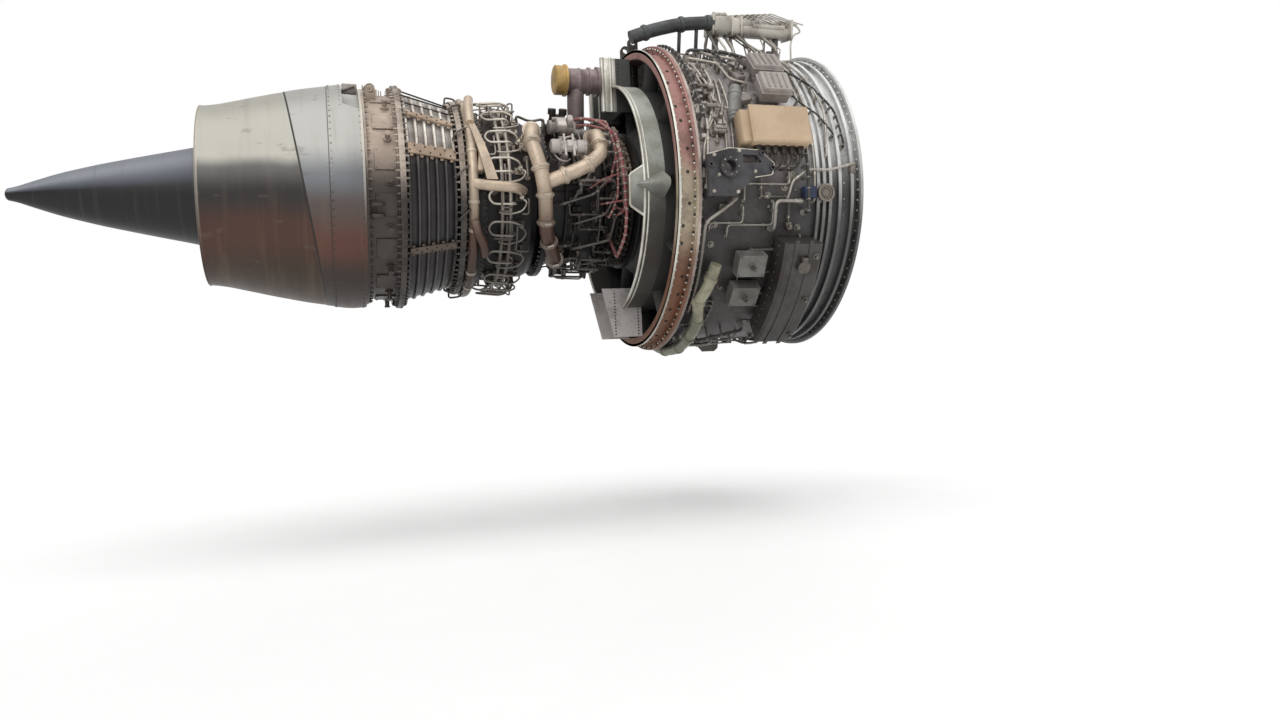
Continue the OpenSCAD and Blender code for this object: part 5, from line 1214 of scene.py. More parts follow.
def service_port():
    """The service bleed port on its stub, and its yellow cap."""
    port, cap = Shell(), Shell()
    place = seat(0, 9, 0.645)
    port.drum(place, mm(
        (-1370, 66), (-1355, 74), (-1345, 66), (-1300, 66), (-1290, 71), (-1280, 66), (-1243, 66),
        (-1240, 75), (-1228, 75), (-1225, 66), (-1194, 68), (-1194, 80), (-1180, 80), (-1180, 50),
        (-1210, 45)), 40, 0)
    base = float(core_base(-1.305))
    port.drum(
        seat(-1.305, 9, base), [(0, 0.062), (0.016, 0.062), (0.018, 0.046), (0.645 - base, 0.046)], 28)
    port.build("bleed_port", "port_metal", slot="port_mauve", nodes=["service_bleed_port"])
    cap.drum(place, mm(
        (-1425, 20), (-1425, 70), (-1420, 78), (-1375, 78), (-1372, 85), (-1360, 85), (-1358, 70)), 40, 0)
    cap.build("port_cap", "yellow_cap", slot="port_mauve")


class TURBOFAN_OT_bleed(bpy.types.Operator):
    """Bleed ducts with beaded joints, band clamps and the valves between their legs"""

    bl_idname = "turbofan.bleed"
    bl_label = "Bleed ducts"

    def execute(self, context):
        bleed_ducts()
        bleed_valves()
        valve_stack()
        service_port()
        return {"FINISHED"}


def lever_row(name, x_ring, x_boss, count):
    """A row of vane levers: a tapered strap from each vane's boss on the case to a pin on its ring."""
    shell = Shell()
    clock = (np.arange(count) + 0.5) * 360 / count
    base = float(core_base(x_boss))
    for a in clock:
        origin, axes = seat(x_boss, a, base + 0.021)
        long = x_ring - x_boss
        turn = np.radians(np.arange(0, 360, 45))
        near = np.stack([0.008 * np.cos(turn), 0.008 * np.sin(turn)], -1)
        far = np.stack([0.005 * np.cos(turn) + long, 0.005 * np.sin(turn)], -1)
        flat = np.where((np.cos(turn) * np.sign(long) > 0)[:, None], far, near)
        rings = origin + flat[None, :, :1] * axes[0] + flat[None, :, 1:] * axes[1]
        rings = rings + np.array([0.0, 0.004])[:, None, None] * axes[2]
        shell.grid(rings, tone=0.6)
    out = at(0, clock, 1.0)
    shell.heads(at(x_boss, clock, base - 0.001), out, 0.010, 0.022, 10, 0.4)
    shell.heads(at(x_boss, clock, base + 0.024), out, 0.006, 0.008, 6, 0.9)
    shell.heads(at(x_ring, clock, base + 0.013), out, 0.0035, 0.018, 8, 0.8)
    piece = shell.build(name, "flange_metal", body=None, slot="lever_alloy")
    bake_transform(piece)
    return piece


def core_pipework(draw):
    """The placed pipes, and drawn ones round the compressor, combustor and turbine flange."""
    tubes = Shell()
    for r, stops in CORE_PIPES:
        pipe(tubes, footed(stops, 1000), core_base, r, 10, 0.035, 0.6, sizes().pipe_clip)
    crank = np.mean(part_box("bellcrank"), axis=0)
    for k in range(64):
        a = 360 * k / 64 + draw.uniform(-2, 2)
        x = draw.uniform(-1.50, -1.22)
        rise = draw.uniform(0.03, 0.11)
        da = draw.uniform(6, 22) * draw.choice([-1, 1])
        dx = draw.uniform(0.06, 0.2) * draw.choice([-1, 1])
        end = float(np.clip(x + dx, -1.53, -1.19))
        stops = footed(
            [(x, a, rise), (x, a + da, rise), (end, a + da, rise + 0.01), (end, a + da * 1.3, rise)])
        r, tone = draw.choice([0.004, 0.005, 0.006, 0.008]), draw.uniform(0.1, 0.75)
        if distance(route(stops, core_base, 0.02), crank) > CRANK_ROOM:
            pipe(tubes, stops, core_base, r, 8, 0.02, tone, 0.12)
    for k in range(26):
        a = draw.uniform(0, 360)
        x = draw.uniform(-1.84, -1.66)
        end = float(np.clip(x + draw.uniform(-0.1, 0.1), -1.87, -1.64))
        rise = draw.uniform(0.075, 0.10)
        da = draw.uniform(8, 20)
        stops = footed([(x, a, rise), (x, a + da, rise), (end, a + da, rise)])
        pipe(tubes, stops, core_base, 0.0045, 8, 0.02, draw.uniform(0.4, 1.0), 0)
    for k in range(14):
        a = 24 * k + 10
        stops = [(X_LPT + 0.03, a, 0.0), (X_LPT + 0.03, a, 0.07), (X_LPT - 0.01, a + 4, 0.075),
                 (X_LPT - 0.03, a + 6, 0.07), (X_LPT - 0.03, a + 6, 0.03)]
        pipe(tubes, stops, core_base, 0.005, 8, 0.02, 0.4, 0)
    tubes.build("core_pipework", "core_pipes", slot="core_pipe", nodes=["core_tubes"])


def core_brackets(draw):
    """Split-line flanges with their bolts, and drawn brackets and sensors between the pipes."""
    frames = Shell()
    for x0, x1 in ((-1.54, -1.16), (-1.86, -1.65)):
        base = float(core_base((x0 + x1) / 2))
        spots = np.linspace(x0 + 0.012, x1 - 0.012, 18)[:, None]
        for a in (90, -90):
            frames.block(seat((x0 + x1) / 2, a, base - 0.003), (x1 - x0, 0.03, 0.014), edge=0.002)
            origin, axes = seat(0, a, base + 0.004)
            for side in (-1, 1):
                frames.heads(
                    origin + spots * axes[0] + side * 0.015 * axes[1], axes[1] * side, 0.004, 0.006)
    for k in range(30):
        a = 12 * k + draw.uniform(-3, 3)
        x = draw.uniform(-1.5, -1.2)
        place = seat(x, a, float(core_base(x)) - 0.002, draw.uniform(-20, 20))
        if k % 3 == 0:
            frames.block(place, (0.05, 0.03, 0.045))
            frames.drum(shift(place, 0, 0, 0.045), mm((0, 11), (20, 11), (22, 7), (35, 7)), 12)
        elif k % 3 == 1:
            profile = mm((0, 22), (10, 22), (11, 14), (50, 14), (52, 20), (60, 20))
            frames.drum(place, profile, 14)
        else:
            frames.blocks(
                place, ((0.09, 0.02, 0.008), (0, 0, 0), 0.002), ((0.016, 0.02, 0.06), (0, 0, 0.006), 0.002))
    frames.build("core_brackets", "core_metal", slot="core_metal")


class TURBOFAN_OT_compressor(bpy.types.Operator):
    """Compressor casing: vane levers, split-line flanges, pipes, ignition leads and the sleeved harness"""

    bl_idname = "turbofan.compressor"
    bl_label = "Compressor and core pipework"

    def execute(self, context):
        for row, x in enumerate((-1.086, -1.112, -1.138), 1):
            lever_row("vane_levers_%d" % row, x, x - 0.0135, sizes().vane_levers)
        draw = np.random.default_rng(11)
        core_pipework(draw)
        leads = Shell()
        for r, stops in CORE_LEADS:
            sleeved_lead(leads, footed(stops, 1000), core_base, r, 0.05, (0.4, 0.9), 0.0018, 3, 5)
        leads.build("core_leads", "pink_sleeve", slot="lead_pink", nodes=["core_harness"])
        core_brackets(draw)
        return {"FINISHED"}


def duct_fairings():
    """The fairing's two curved sheets with a double lip, a tab at each side and a pointed fairing on it."""
    x1 = X_REAR - 0.11
    gap = math.degrees(math.asin(0.131 / FAIRING_R))
    sheet, lips = Shell(), Shell()
    for start, stop in ((gap, 180 - gap), (180 + gap, 360 - gap)):
        sheet.turned([(X_REAR, FAIRING_R - 0.008), (X_REAR, FAIRING_R), (x1 + 0.012, FAIRING_R),
                      (x1 + 0.006, FAIRING_R + 0.002), (x1 + 0.006, FAIRING_R - 0.008)], 90, start, stop)
        for dx, radius in ((0.0, 0.0075), (0.02, 0.0055)):
            lips.turned(circle(x1 + dx, FAIRING_R - 0.001, radius), 90, start, stop)
    for start, pointed in ((85, 93.0), (254, 267.0)):
        clock = np.linspace(start - 1.0, start + 22.0, 24)
        edge = np.clip(np.minimum(clock - clock[0], clock[-1] - clock) / 4.5, 0, 1)
        front, back = x1 + 0.004, x1 - 0.075 * edge - 0.002
        sheet.grid(np.stack([
            at(x, clock, FAIRING_R - dr)
            for x, dr in ((front, 0.007), (front, 0.001), (back, 0.001), (back, 0.007))], 1))
        lips.tube(at(back, clock, FAIRING_R - 0.004), 0.0065, 8)
        pointed_fairing(sheet, pointed)
    sheet.build("fairing_sheet", "fairing_paint", slot="fairing_grey", nodes=["inner_fairing"])
    lips.build("fairing_lips", "lip_metal", slot="fairing_grey")


def bifurcation_trim():
    """Rivet rows on the dividers' sides, and rounded strips at the rear edge of the upper one."""
    trim, rivets = Shell(), Shell()
    for x, low, high in (
            (-1.07, 0.49, 0.755), (-0.985, 0.49, 0.755), (-1.02, -0.75, -0.53), (-1.15, -0.75, -0.53)):
        for side in (-1, 1):
            rivets.heads(
                [(x, side * 0.129, z) for z in np.linspace(low, high, 14)], [0, side, 0], 0.0045, 0.0025, 8)
    rivets.build("bifurcation_rivets", "dark_steel", slot="fairing_grey")
    for side in (-1, 1):
        x, y, low, high = -1.158, side * 0.124, 0.468, 0.764
        for dx, dy, r in ((0, 0, 0.0125), (0.045, side * 0.004, 0.010)):
            trim.tube([(x + dx, y + dy, low), (x + dx, y + dy, high)], r, 14)
        trim.blocks(
            (np.array([x, side * 0.1285, low]), np.eye(3)),
            ((0.034, 0.003, high - low), (0.025, 0, 0), 0.001),
            ((0.024, 0.003, high - low), (0.062, 0, 0), 0.001))
    trim.build("bifurcation_trim", "lip_metal", slot="fairing_grey")


def frame_nuts():
    """Nuts, edge bands and sunk fasteners of the fan frame's ring."""
    ring = Shell()
    for x, r, n, face in (
            (X_CASE + 0.014, 0.823, 120, 1), (X_CASE - 0.014, 0.823, 120, -1),
            (X_REAR + 0.012, 0.806, 110, 1)):
        ring.bolt_circle(x, r, n, 0.0055, 0.008, 6, face, 0.25)
    ring.turned([(X_REAR, 0.800), (X_REAR, 0.8145), (X_REAR + 0.003, 0.8155), (X_REAR + 0.011, 0.8155),
                 (X_REAR + 0.012, 0.802)], 180, tone=0.6)
    ring.build("frame_nuts", "lip_metal", slot="bolt_steel")
    band = Shell()
    band.turned([
        (X_CASE - 0.002, 0.832), (X_CASE, 0.8385), (X_CASE + 0.013, 0.8385), (X_CASE + 0.015, 0.832),
        (X_CASE + 0.006, 0.830)], 180, tone=0.6)
    band.build("case_flange_edge", "flange_paint", slot="bolt_steel")
    holes = Shell()
    draw = np.random.default_rng(5)
    for k in range(40):
        a = 9 * k + draw.uniform(-3, 3)
        x = X_CASE - 0.035 - draw.uniform(0, 0.035)
        holes.drum(seat(x, a, RING_R - 0.001), mm((0, 9), (2.2, 9), (2.4, 5), (6, 5)), 10)
    holes.build("frame_fasteners", "dark_steel", slot="bolt_steel")


def pointed_fairing(shell, clock):
    """A pointed fairing: triangles that grow and rise from the tip forwards, with softened edges."""
    origin, axes = seat(X_REAR - 0.151, clock, FAIRING_R - 0.004)
    s = np.linspace(0, 1, 9)
    wide = 0.002 + 0.068 * s
    tall = 0.04 + 0.084 * s
    corners = np.array(
        [(-1, 0), (-1, 0.10), (-0.30, 0.92), (-0.1, 1), (0.1, 1), (0.30, 0.92), (1, 0.10), (1, 0)])
    rings = np.stack([
        0.136 * s[:, None] + 0 * corners[:, 0], wide[:, None] * corners[:, 0],
        tall[:, None] * corners[:, 1]], -1) @ axes + origin
    shell.grid(rings)


class TURBOFAN_OT_fan_duct(bpy.types.Operator):
    """Inner fairing with double lip, tab and pointed side fairing, and the rivets of the bifurcations"""

    bl_idname = "turbofan.fan_duct"
    bl_label = "Fan duct fairings"

    def execute(self, context):
        duct_fairings()
        bifurcation_trim()
        frame_nuts()
        return {"FINISHED"}


# Pipes on the core: radius, then stops of station, clock and height in millimetres and degrees
CORE_PIPES = [
    (0.007, [(-1420, 26, 60), (-1400, 28, 70), (-1340, 26, 60)]),
    (0.007, [None, (-1120, 60, 60), (-1240, 62, 70), (-1420, 100, 60)]),
    (0.006, [(-1210, 82, 90), (-1320, 96, 96), (-1500, 104, 70)]),
    (0.006, [(-1200, 96, 100), (-1260, 110, 96), (-1425, 118, 70)]),
    (0.008, [(-1210, 112, 110), (-1220, 130, 80), (-1415, 140, 60)]),
    (0.008, [(-1660, 72, 24), (-1660, 86, 24)]),
    (0.007, [(-1500, 20, 100), (-1660, 26, 40)]),
    (0.006, [(-1180, 150, 70), (-1360, 160, 60), (-1500, 170, 50)]),
    (0.006, [(-1200, 180, 60), (-1425, 200, 60)]),
    (0.008, [(-1200, 230, 80), (-1400, 236, 80), (-1640, 240, 30)]),
    (0.008, [(-1220, 262, 80), (-1440, 270, 90), (-1500, 284, 60)]),
    (0.007, [(-1200, 300, 70), (-1360, 310, 80), (-1640, 320, 30)]),
    (0.007, [(-1500, 340, 100), (-1660, 346, 40)]),
]
# Harness leads on the core, in the same form
CORE_LEADS = [
    (0.008, [(-1420, 52, 200), (-1380, 54, 230), (-1300, 56, 240), (-1222, 66, 250), (-1205, 84, 250),
             (-1190, 100, 240), (-1185, 118, 230), (-1200, 134, 190)]),
    (0.006, [None, (-1222, 72, 250), (-1210, 88, 262), (-1196, 104, 250), (-1196, 112, 60), None]),
    (0.006, [(-1430, 56, 190), (-1360, 58, 225), (-1240, 62, 235), (-1200, 74, 220), (-1190, 92, 220),
             (-1180, 106, 170)]),
    (0.005, [None, (-1330, 52, 210), (-1260, 58, 255), (-1230, 76, 240), (-1250, 88, 160)]),
    (0.005, [None, (-1240, 64, 235), (-1225, 80, 225), (-1225, 98, 200), (-1240, 112, 100)]),
    (0.004, [None, (-1200, 86, 235), (-1290, 88, 170), (-1340, 92, 100)]),
    (0.004, [None, (-1190, 100, 235), (-1270, 102, 150), (-1300, 105, 0)]),
]
# Pipes on the fan case, in the same form
FAN_PIPES = [
    (0.009, [(-700, 99, 50), (-775, 103, 55), (-866, 107.5, 50), (-868, 117, 45), (-862, 130, 40),
             (-862, 144, 40)]),
    (0.008, [(-880, 66, 26), (-835, 64, 34), (-700, 66, 34), (-660, 67, 26)]),
    (0.006, [(-680, 50, 20), (-684, 62, 20), (-700, 84, 20)]),
    (0.006, [(-706, 50, 20), (-722, 62, 20), (-736, 84, 20)]),
    (0.006, [(-860, 30, 22), (-820, 44, 30), (-780, 58, 22), (-780, 78, 22)]),
    (0.007, [(-800, 36, 40), (-640, 42, 48), (-560, 44, 48)]),
    (0.006, [(-300, 20, 30), (-292, 60, 34), (-300, 88, 30)]),
    (0.006, [(-276, 24, 44), (-270, 64, 44), (-276, 100, 40)]),
    (0.009, [(-340, 100, 50), (-500, 100, 60), (-500, 110, 60)]),
    (0.006, [(-145, 30, 38), (-320, 38, 44)]),
    (0.0065, [(-30, 86, 34), (-190, 89, 46), (-313, 89, 50), (-400, 93, 45), (-430, 100, 40)]),
    (0.008, [(-880, -40, 30), (-700, -44, 36), (-560, -70, 36)]),
    (0.008, [(-840, -60, 40), (-600, -64, 50), (-420, -74, 50)]),
    (0.010, [(-700, 190, 40), (-520, 196, 60), (-420, 198, 60)]),
    (0.007, [(-860, 200, 26), (-860, 240, 26), (-860, 252, 26)]),
    (0.007, [(-300, 160, 40), (-300, 200, 36), (-300, 240, 36), (-300, 300, 36)]),
    (0.006, [(-740, -20, 24), (-700, -100, 24)]),
    (0.006, [(-640, 4, 24), (-620, -30, 24), (-450, -40, 24)]),
    (0.007, [(-800, 40, 30), (-770, 56, 35), (-760, 66, 35), (-830, 76, 35), (-860, 82, 30),
             (-860, 92, 0)]),
    (0.007, [(-740, 44, 30), (-750, 58, 40), (-800, 70, 40), (-830, 74, 40), (-850, 86, 40),
             (-850, 96, 0)]),
    (0.008, [(-700, 24, 50), (-680, 34, 55), (-530, 38, 55)]),
    (0.007, [(-620, 28, 40), (-660, 40, 45), (-640, 52, 45), (-550, 54, 45)]),
    (0.006, [None, (-240, 34, 26), (-240, 34, 40), (-200, 50, 50), (-170, 66, 50), (-200, 84, 40)]),
]
# Harness leads on the fan case, in the same form
FAN_LEADS = [
    (0.009, [(-760, 28, 58), (-560, 30, 60), (-452, 38, 60)]),
    (0.008, [(-862, 14, 60), (-862, 60, 62), (-850, 72, 62)]),
    (0.008, [(-330, 66, 60), (-318, 104, 64)]),
    (0.009, [(-500, 156, 50), (-640, 160, 56), (-730, 164, 56)]),
    (0.009, [(-520, -10, 74), (-510, -90, 74)]),
    (0.007, [None, (-660, 18, 20), (-660, 30, 70), (-640, 44, 75), (-560, 50, 75)]),
    (0.006, [(-340, 22, 0), (-330, 30, 50), (-310, 44, 55), (-200, 54, 55), (-110, 66, 50), (-90, 80, 40)]),
    (0.005, [None, (-360, 60, 80), (-300, 64, 60), (-220, 68, 55), (-140, 76, 45)]),
]


def case_pipework(draw):
    """The placed pipes, and short drawn ones all round the case."""
    tubes = Shell()
    for r, stops in FAN_PIPES:
        pipe(tubes, footed(stops, 1000), fan_base, r, 10, 0.035, 0.75, sizes().pipe_clip)
    for k in range(46):
        a = draw.uniform(10, 350)
        x = draw.uniform(-0.86, -0.34)
        rise = draw.uniform(0.014, 0.036)
        da = draw.uniform(4, 16) * draw.choice([-1, 1])
        end = float(np.clip(x + draw.uniform(0.06, 0.3) * draw.choice([-1, 1]), -0.87, -0.3))
        r = draw.choice([0.0035, 0.0045, 0.006])
        stops = footed(
            [(x, a, rise), (x, a + da, rise), (end, a + da, rise + 0.004), (end, a + da * 1.5, rise)])
        pipe(tubes, stops, fan_base, r, 8, 0.02, draw.uniform(0.1, 1.0), 0.11)
    tubes.build("fan_case_pipework", "fan_pipes", slot="pipe_steel", nodes=["fan_case_tubes"])


def case_fittings(draw):
    """Drawn plates, sensors and studs all round the case, and a dense group near its rear edge."""
    small = Shell()
    for k in range(120):
        a = draw.uniform(0, 360)
        x = draw.uniform(-0.87, -0.27)
        place = seat(x, a, CASE_R - 0.001, draw.choice([0, 90, 45, 20]))
        if k % 4 == 0:
            small.block(place, (0.06, 0.03, 0.005), edge=0.002, tone=draw.uniform(0, 1))
            for dx in (-0.02, 0.02):
                small.heads(shift(place, dx, 0, 0.004)[0], place[1][2], 0.006, 0.007)
        elif k % 4 == 1:
            small.block(place, (0.03, 0.04, 0.026), edge=0.003, tone=draw.uniform(0, 1))
            small.drum(shift(place, 0, 0, 0.026), mm((0, 9), (15, 9)), 10)
        elif k % 4 == 2:
            small.drum(place, mm((0, 18), (5, 18), (6, 11), (20, 11), (21, 7)), 12)
        else:
            small.heads(place[0], place[1][2], 0.008, 0.010)
    small.build("fan_case_brackets", "steel", slot="titanium_grey")
    knot = Shell()
    for k in range(46):
        a = draw.uniform(46, 78)
        x = draw.uniform(-0.875, -0.72)
        place = seat(x, a, CASE_R - 0.001, draw.choice([0, 90, 75]))
        tall = draw.uniform(0.02, 0.062)
        if k % 3 == 0:
            knot.block(place, (0.03, 0.022, tall), edge=0.003, tone=draw.uniform(0, 1))
        elif k % 3 == 1:
            knot.drum(
                place, [(0, 0.015), (tall * 0.3, 0.015), (tall * 0.3 + 0.001, 0.009), (tall, 0.009)], 10)
        else:
            knot.collar(shift(place, 0, 0, tall)[0], place[1][0], 0.03, 0.011, 10, draw.uniform(0, 1))
            knot.block(place, (0.014, 0.014, tall), edge=0.002)
    knot.build("case_fitting_cluster", "light_fittings", slot="titanium_grey")


class TURBOFAN_OT_fan_case(bpy.types.Operator):
    """Pipes, leads and small brackets on the fan case, with the hoops' edges and the flange bolts"""

    bl_idname = "turbofan.fan_case"
    bl_label = "Fan case pipework"

    def execute(self, context):
        draw = np.random.default_rng(3)
        case_pipework(draw)
        leads = Shell()
        for r, stops in FAN_LEADS:
            for p in sleeved_lead(leads, footed(stops, 1000), fan_base, r, 0.04, (0.3, 0.85), 0.0016, 2, 4):
                post(leads, p, fan_base, r, (0.01, 0.012), 0.012 - r, 1.0, 0.8)
        leads.build("fan_case_leads", "dark_sleeve", slot="lead_dark", nodes=["fan_case_harness"])
        case_fittings(draw)
        edges = Shell()
        for x in (-0.05, -0.12, -0.175, -0.21, -0.245):
            edges.turned(
                [(x - 0.009, 0.804), (x - 0.008, 0.8085), (x + 0.008, 0.8085), (x + 0.009, 0.804)], 180)
        edges.turned(mm((-16, 816), (-15, 830.5), (0.5, 830.5), (0.5, 826), (-12, 816)), 180)
        edges.bolt_circle(-0.0135, 0.802, 96, 0.0055, 0.008, face=-1)
        for x in (-0.085, -0.228):
            edges.bolt_circle(x, CASE_R - 0.001, 60, 0.005, 0.004, 8)
        edges.build("case_hoop_edges", "hoop_metal", slot="titanium_grey")
        return {"FINISHED"}


def control_box():
    """The large box with its lid, end cover, screws, feet and six plugs with their leads."""
    box, feet = Shell(), Shell()
    long, wide, deep = 0.306, 0.19, 0.10
    place = seat(-0.345, 77, 0.85)
    box.blocks(
        place, ((long, wide, deep), (-long / 2, 0, 0), 0.006),
        ((long + 0.012, wide + 0.008, 0.010), (-long / 2, 0, deep - 0.014), 0.004),
        ((0.05, wide * 0.9, deep * 0.8), (-long - 0.021, 0, -0.01), 0.006))
    axes = place[1]
    for k in range(9):
        for side in (-1, 1):
            spot = shift(place, -0.015 - 0.0345 * k, side * (wide / 2 - 0.008), deep)[0]
            box.heads(spot, axes[2], 0.0032, 0.002, 8)
    box.build("control_box_case", "tan_paint", slot="box_tan", nodes=["control_box"])
    for x in (-0.026, -0.28):
        for y in (-0.06, 0.06):
            feet.drum(shift(place, x, y, -0.068), mm(
                (-4, 20), (6, 20), (8, 13), (50, 13), (52, 18), (68.5, 18)), 14)
    for k in range(6):
        spot = shift(place, -0.04 - 0.045 * k, -wide / 2, 0.035)[0]
        plug_end(feet, spot, -axes[1], 0.011, 0.6)
        loop = np.array([[0, -0.03, 0], [0, -0.07, -0.01], [-0.03, -0.1, -0.045], [-0.05, -0.09, -0.066]])
        feet.tube(soften(spot + loop @ axes, 0.03), 0.006, 8, 0.2)
    feet.build("control_box_feet", "dark_steel", slot="bolt_steel")


def side_boxes():
    """Two ribbed boxes with flanges, posts and plugs, and three small sensor housings near them."""
    mauve = Shell()
    for x, long, a, wide, r, deep in (
            (-0.375, 0.155, 60, 0.126, 0.838, 0.092), (-0.352, 0.158, 46.5, 0.13, 0.832, 0.072)):
        place = seat(x, a, r)
        rise = r - CASE_R
        mauve.block(place, (long, wide, deep), (-long / 2, 0, 0), 0.005)
        mauve.block(place, (long + 0.014, wide + 0.012, 0.008), (-long / 2, 0, deep * 0.62), 0.003, 0.6)
        for k in range(4):
            foot = (-long + 0.029 + 0.032 * k, 0, deep - 0.001)
            mauve.block(place, (0.008, wide * 0.8, 0.006), foot, 0.002, 0.4)
        for dx in (-0.02, 0.02 - long):
            mauve.drum(shift(place, dx, 0, -rise), [
                (0, 0.016), (0.006, 0.016), (0.007, 0.009), (rise + 0.002, 0.009)], 12, tone=0.3)
        for k in range(3):
            plug_end(mauve, shift(place, -0.03 - 0.045 * k, wide / 2, 0.03)[0], place[1][1], 0.009, 0.2)
    for x, a in ((-0.58, 50), (-0.46, 36), (-0.60, 62)):
        mauve.blocks(seat(x, a, CASE_R + 0.02, 15), ((0.06, 0.05, 0.04), (0, 0, 0), 0.004, 0.3),
                     ((0.02, 0.02, 0.024), (0, 0, -0.022), 0.002, 0.1))
    mauve.build("mauve_boxes", "mauve_paint", slot="box_mauve", nodes=["electronic_boxes"])


def side_canister():
    """The canister in its two clamps, the blue sensor and the round connector with its pins."""
    can, blue, connector = Shell(), Shell(), Shell()
    start, end = through((-0.632, 57.0, 0.832), (-0.700, 78.0, 0.836))
    way = unit(end - start)
    can.lathe(start, way, mm(
        (0, 20), (4, 30), (30, 30), (31, 34), (200, 34), (201, 30), (220, 30), (222, 20)), 22)
    for d in (0.05, 0.17):
        p = start + way * d
        can.collar(p, way, 0.008, 0.0365, 22, 0.9)
        can.block(seat(p[0], clock_of(p), CASE_R), (0.02, 0.03, 0.03), edge=0.002, tone=0.6)
    can.build("side_canister", "grey_paint", slot="accessory_grey")
    blue.blocks(seat(-0.305, 97, CASE_R + 0.012), ((0.07, 0.06, 0.05), (0, 0, 0), 0.008),
                ((0.03, 0.03, 0.016), (0, 0, -0.013), 0.003))
    blue.build("blue_sensor", "blue_part", slot="accessory_grey")
    place = seat(-0.215, 97, CASE_R)
    connector.drum(
        place, mm((0, 50), (12, 50), (14, 42), (40, 42), (42, 46), (55, 46), (56, 36), (50, 34)), 28)
    connector.heads(dots(shift(place, 0, 0, 0.05), 0.024, 10), place[1][2], 0.005, 0.008, 8, 0.9)
    connector.block(seat(-0.045, 88, CASE_R), (0.03, 0.05, 0.03), edge=0.002, tone=0.9)
    connector.build("round_connector", "steel", slot="accessory_grey")


class TURBOFAN_OT_boxes(bpy.types.Operator):
    """Control box, electronic boxes and the canister beside them, with lids, feet, plugs and screws"""

    bl_idname = "turbofan.boxes"
    bl_label = "Electronic boxes"

    def execute(self, context):
        control_box()
        side_boxes()
        side_canister()
        return {"FINISHED"}


def anti_ice_duct():
    """The rising duct with three beaded joints, on two posts."""
    duct = Shell()
    stops = [(X_REAR - 0.015, 0.88), (X_CASE + 0.01, 0.925), (X_CASE + 0.17, 0.968), (X_CASE + 0.33, 0.985),
             (-0.541, 0.985)]
    path = soften(through(*[(x, DUCT_CLOCK, r) for x, r in stops]), 0.08, 8)
    duct.tube(path, 0.036, 24, 0.4)
    bead = mm((-14, 36), (-12, 41), (-3, 44), (3, 44), (12, 41), (14, 36))
    for i in (2, len(path) // 2, len(path) - 4):
        duct.lathe(path[i], unit(path[i + 1] - path[i]), bead, 24, 0.8)
    for x, top in ((-0.634, 0.951), (-0.734, 0.940)):
        duct.blocks(seat(x, DUCT_CLOCK, CASE_R), ((0.012, 0.03, top - CASE_R), (0, 0, 0), 0.002, 0.3),
                    ((0.05, 0.06, 0.006), (0, 0, -0.001), 0.002))
    duct.build("anti_ice_pipe", "duct_grey", slot="duct_grey", nodes=["anti_ice_duct"])


def anti_ice_valve(draw):
    """The valve's housings, turned bodies, feet and clamps, with drawn small blocks on top."""
    valve = Shell()
    place = seat(0, VALVE_CLOCK, 0)
    valve.blocks(
        place, ((0.11, 0.13, 0.10), (-0.485, 0, 0.925), 0.02),
        ((0.06, 0.12, 0.09), (-0.40, 0, 0.928), 0.015, 0.7),
        ((0.31, 0.096, 0.058), (-0.215, 0, 0.927), 0.016, 0.6),
        ((0.07, 0.056, 0.034), (-0.145, 0, 0.984), 0.006, 0.3),
        ((0.04, 0.05, 0.03), (-0.31, 0.025, 0.984), 0.006),
        ((0.05, 0.07, 0.02), (-0.475, 0, 1.022), 0.006, 0.4))
    for x, r, length, z, y in (
            (-0.41, 0.03, 0.15, 1.0, 0.0), (-0.25, 0.022, 0.09, 0.995, 0.0),
            (-0.52, 0.022, 0.08, 1.035, 0.02), (-0.30, 0.016, 0.2, 0.985, -0.035)):
        profile = [(0, r * 0.7), (0.004, r), (0.014, r), (0.016, r * 0.88), (length - 0.016, r * 0.88),
                   (length - 0.014, r), (length - 0.002, r), (length, r * 0.6)]
        valve.drum(shift(place, x, y, z), profile, 20, 0, 0.6)
    for x in (-0.508, -0.138):
        low = CASE_R + (HOOP_RISE if x > X_HOOPS else 0.0)
        valve.block(place, (0.024, 0.04, 0.928 - low), (x, 0, low), 0.003, 0.2)
    for x in (-0.545, -0.43, -0.375, -0.065):
        valve.block(place, (0.012, 0.136, 0.112), (x, 0, 0.92), 0.02, 0.8)
    for k in range(26):
        x = draw.uniform(-0.53, -0.09)
        y = draw.uniform(-0.05, 0.05)
        z = 0.985 + draw.uniform(0, 0.03)
        size = draw.uniform(0.012, 0.035, 3)
        valve.block(place, size, (x + size[0] / 2, y + size[1] / 2, z - 0.012), 0.003, draw.uniform(0, 1))
    valve.build("anti_ice_valve_set", "valve_paint", slot="valve_beige", nodes=["anti_ice_valve"])


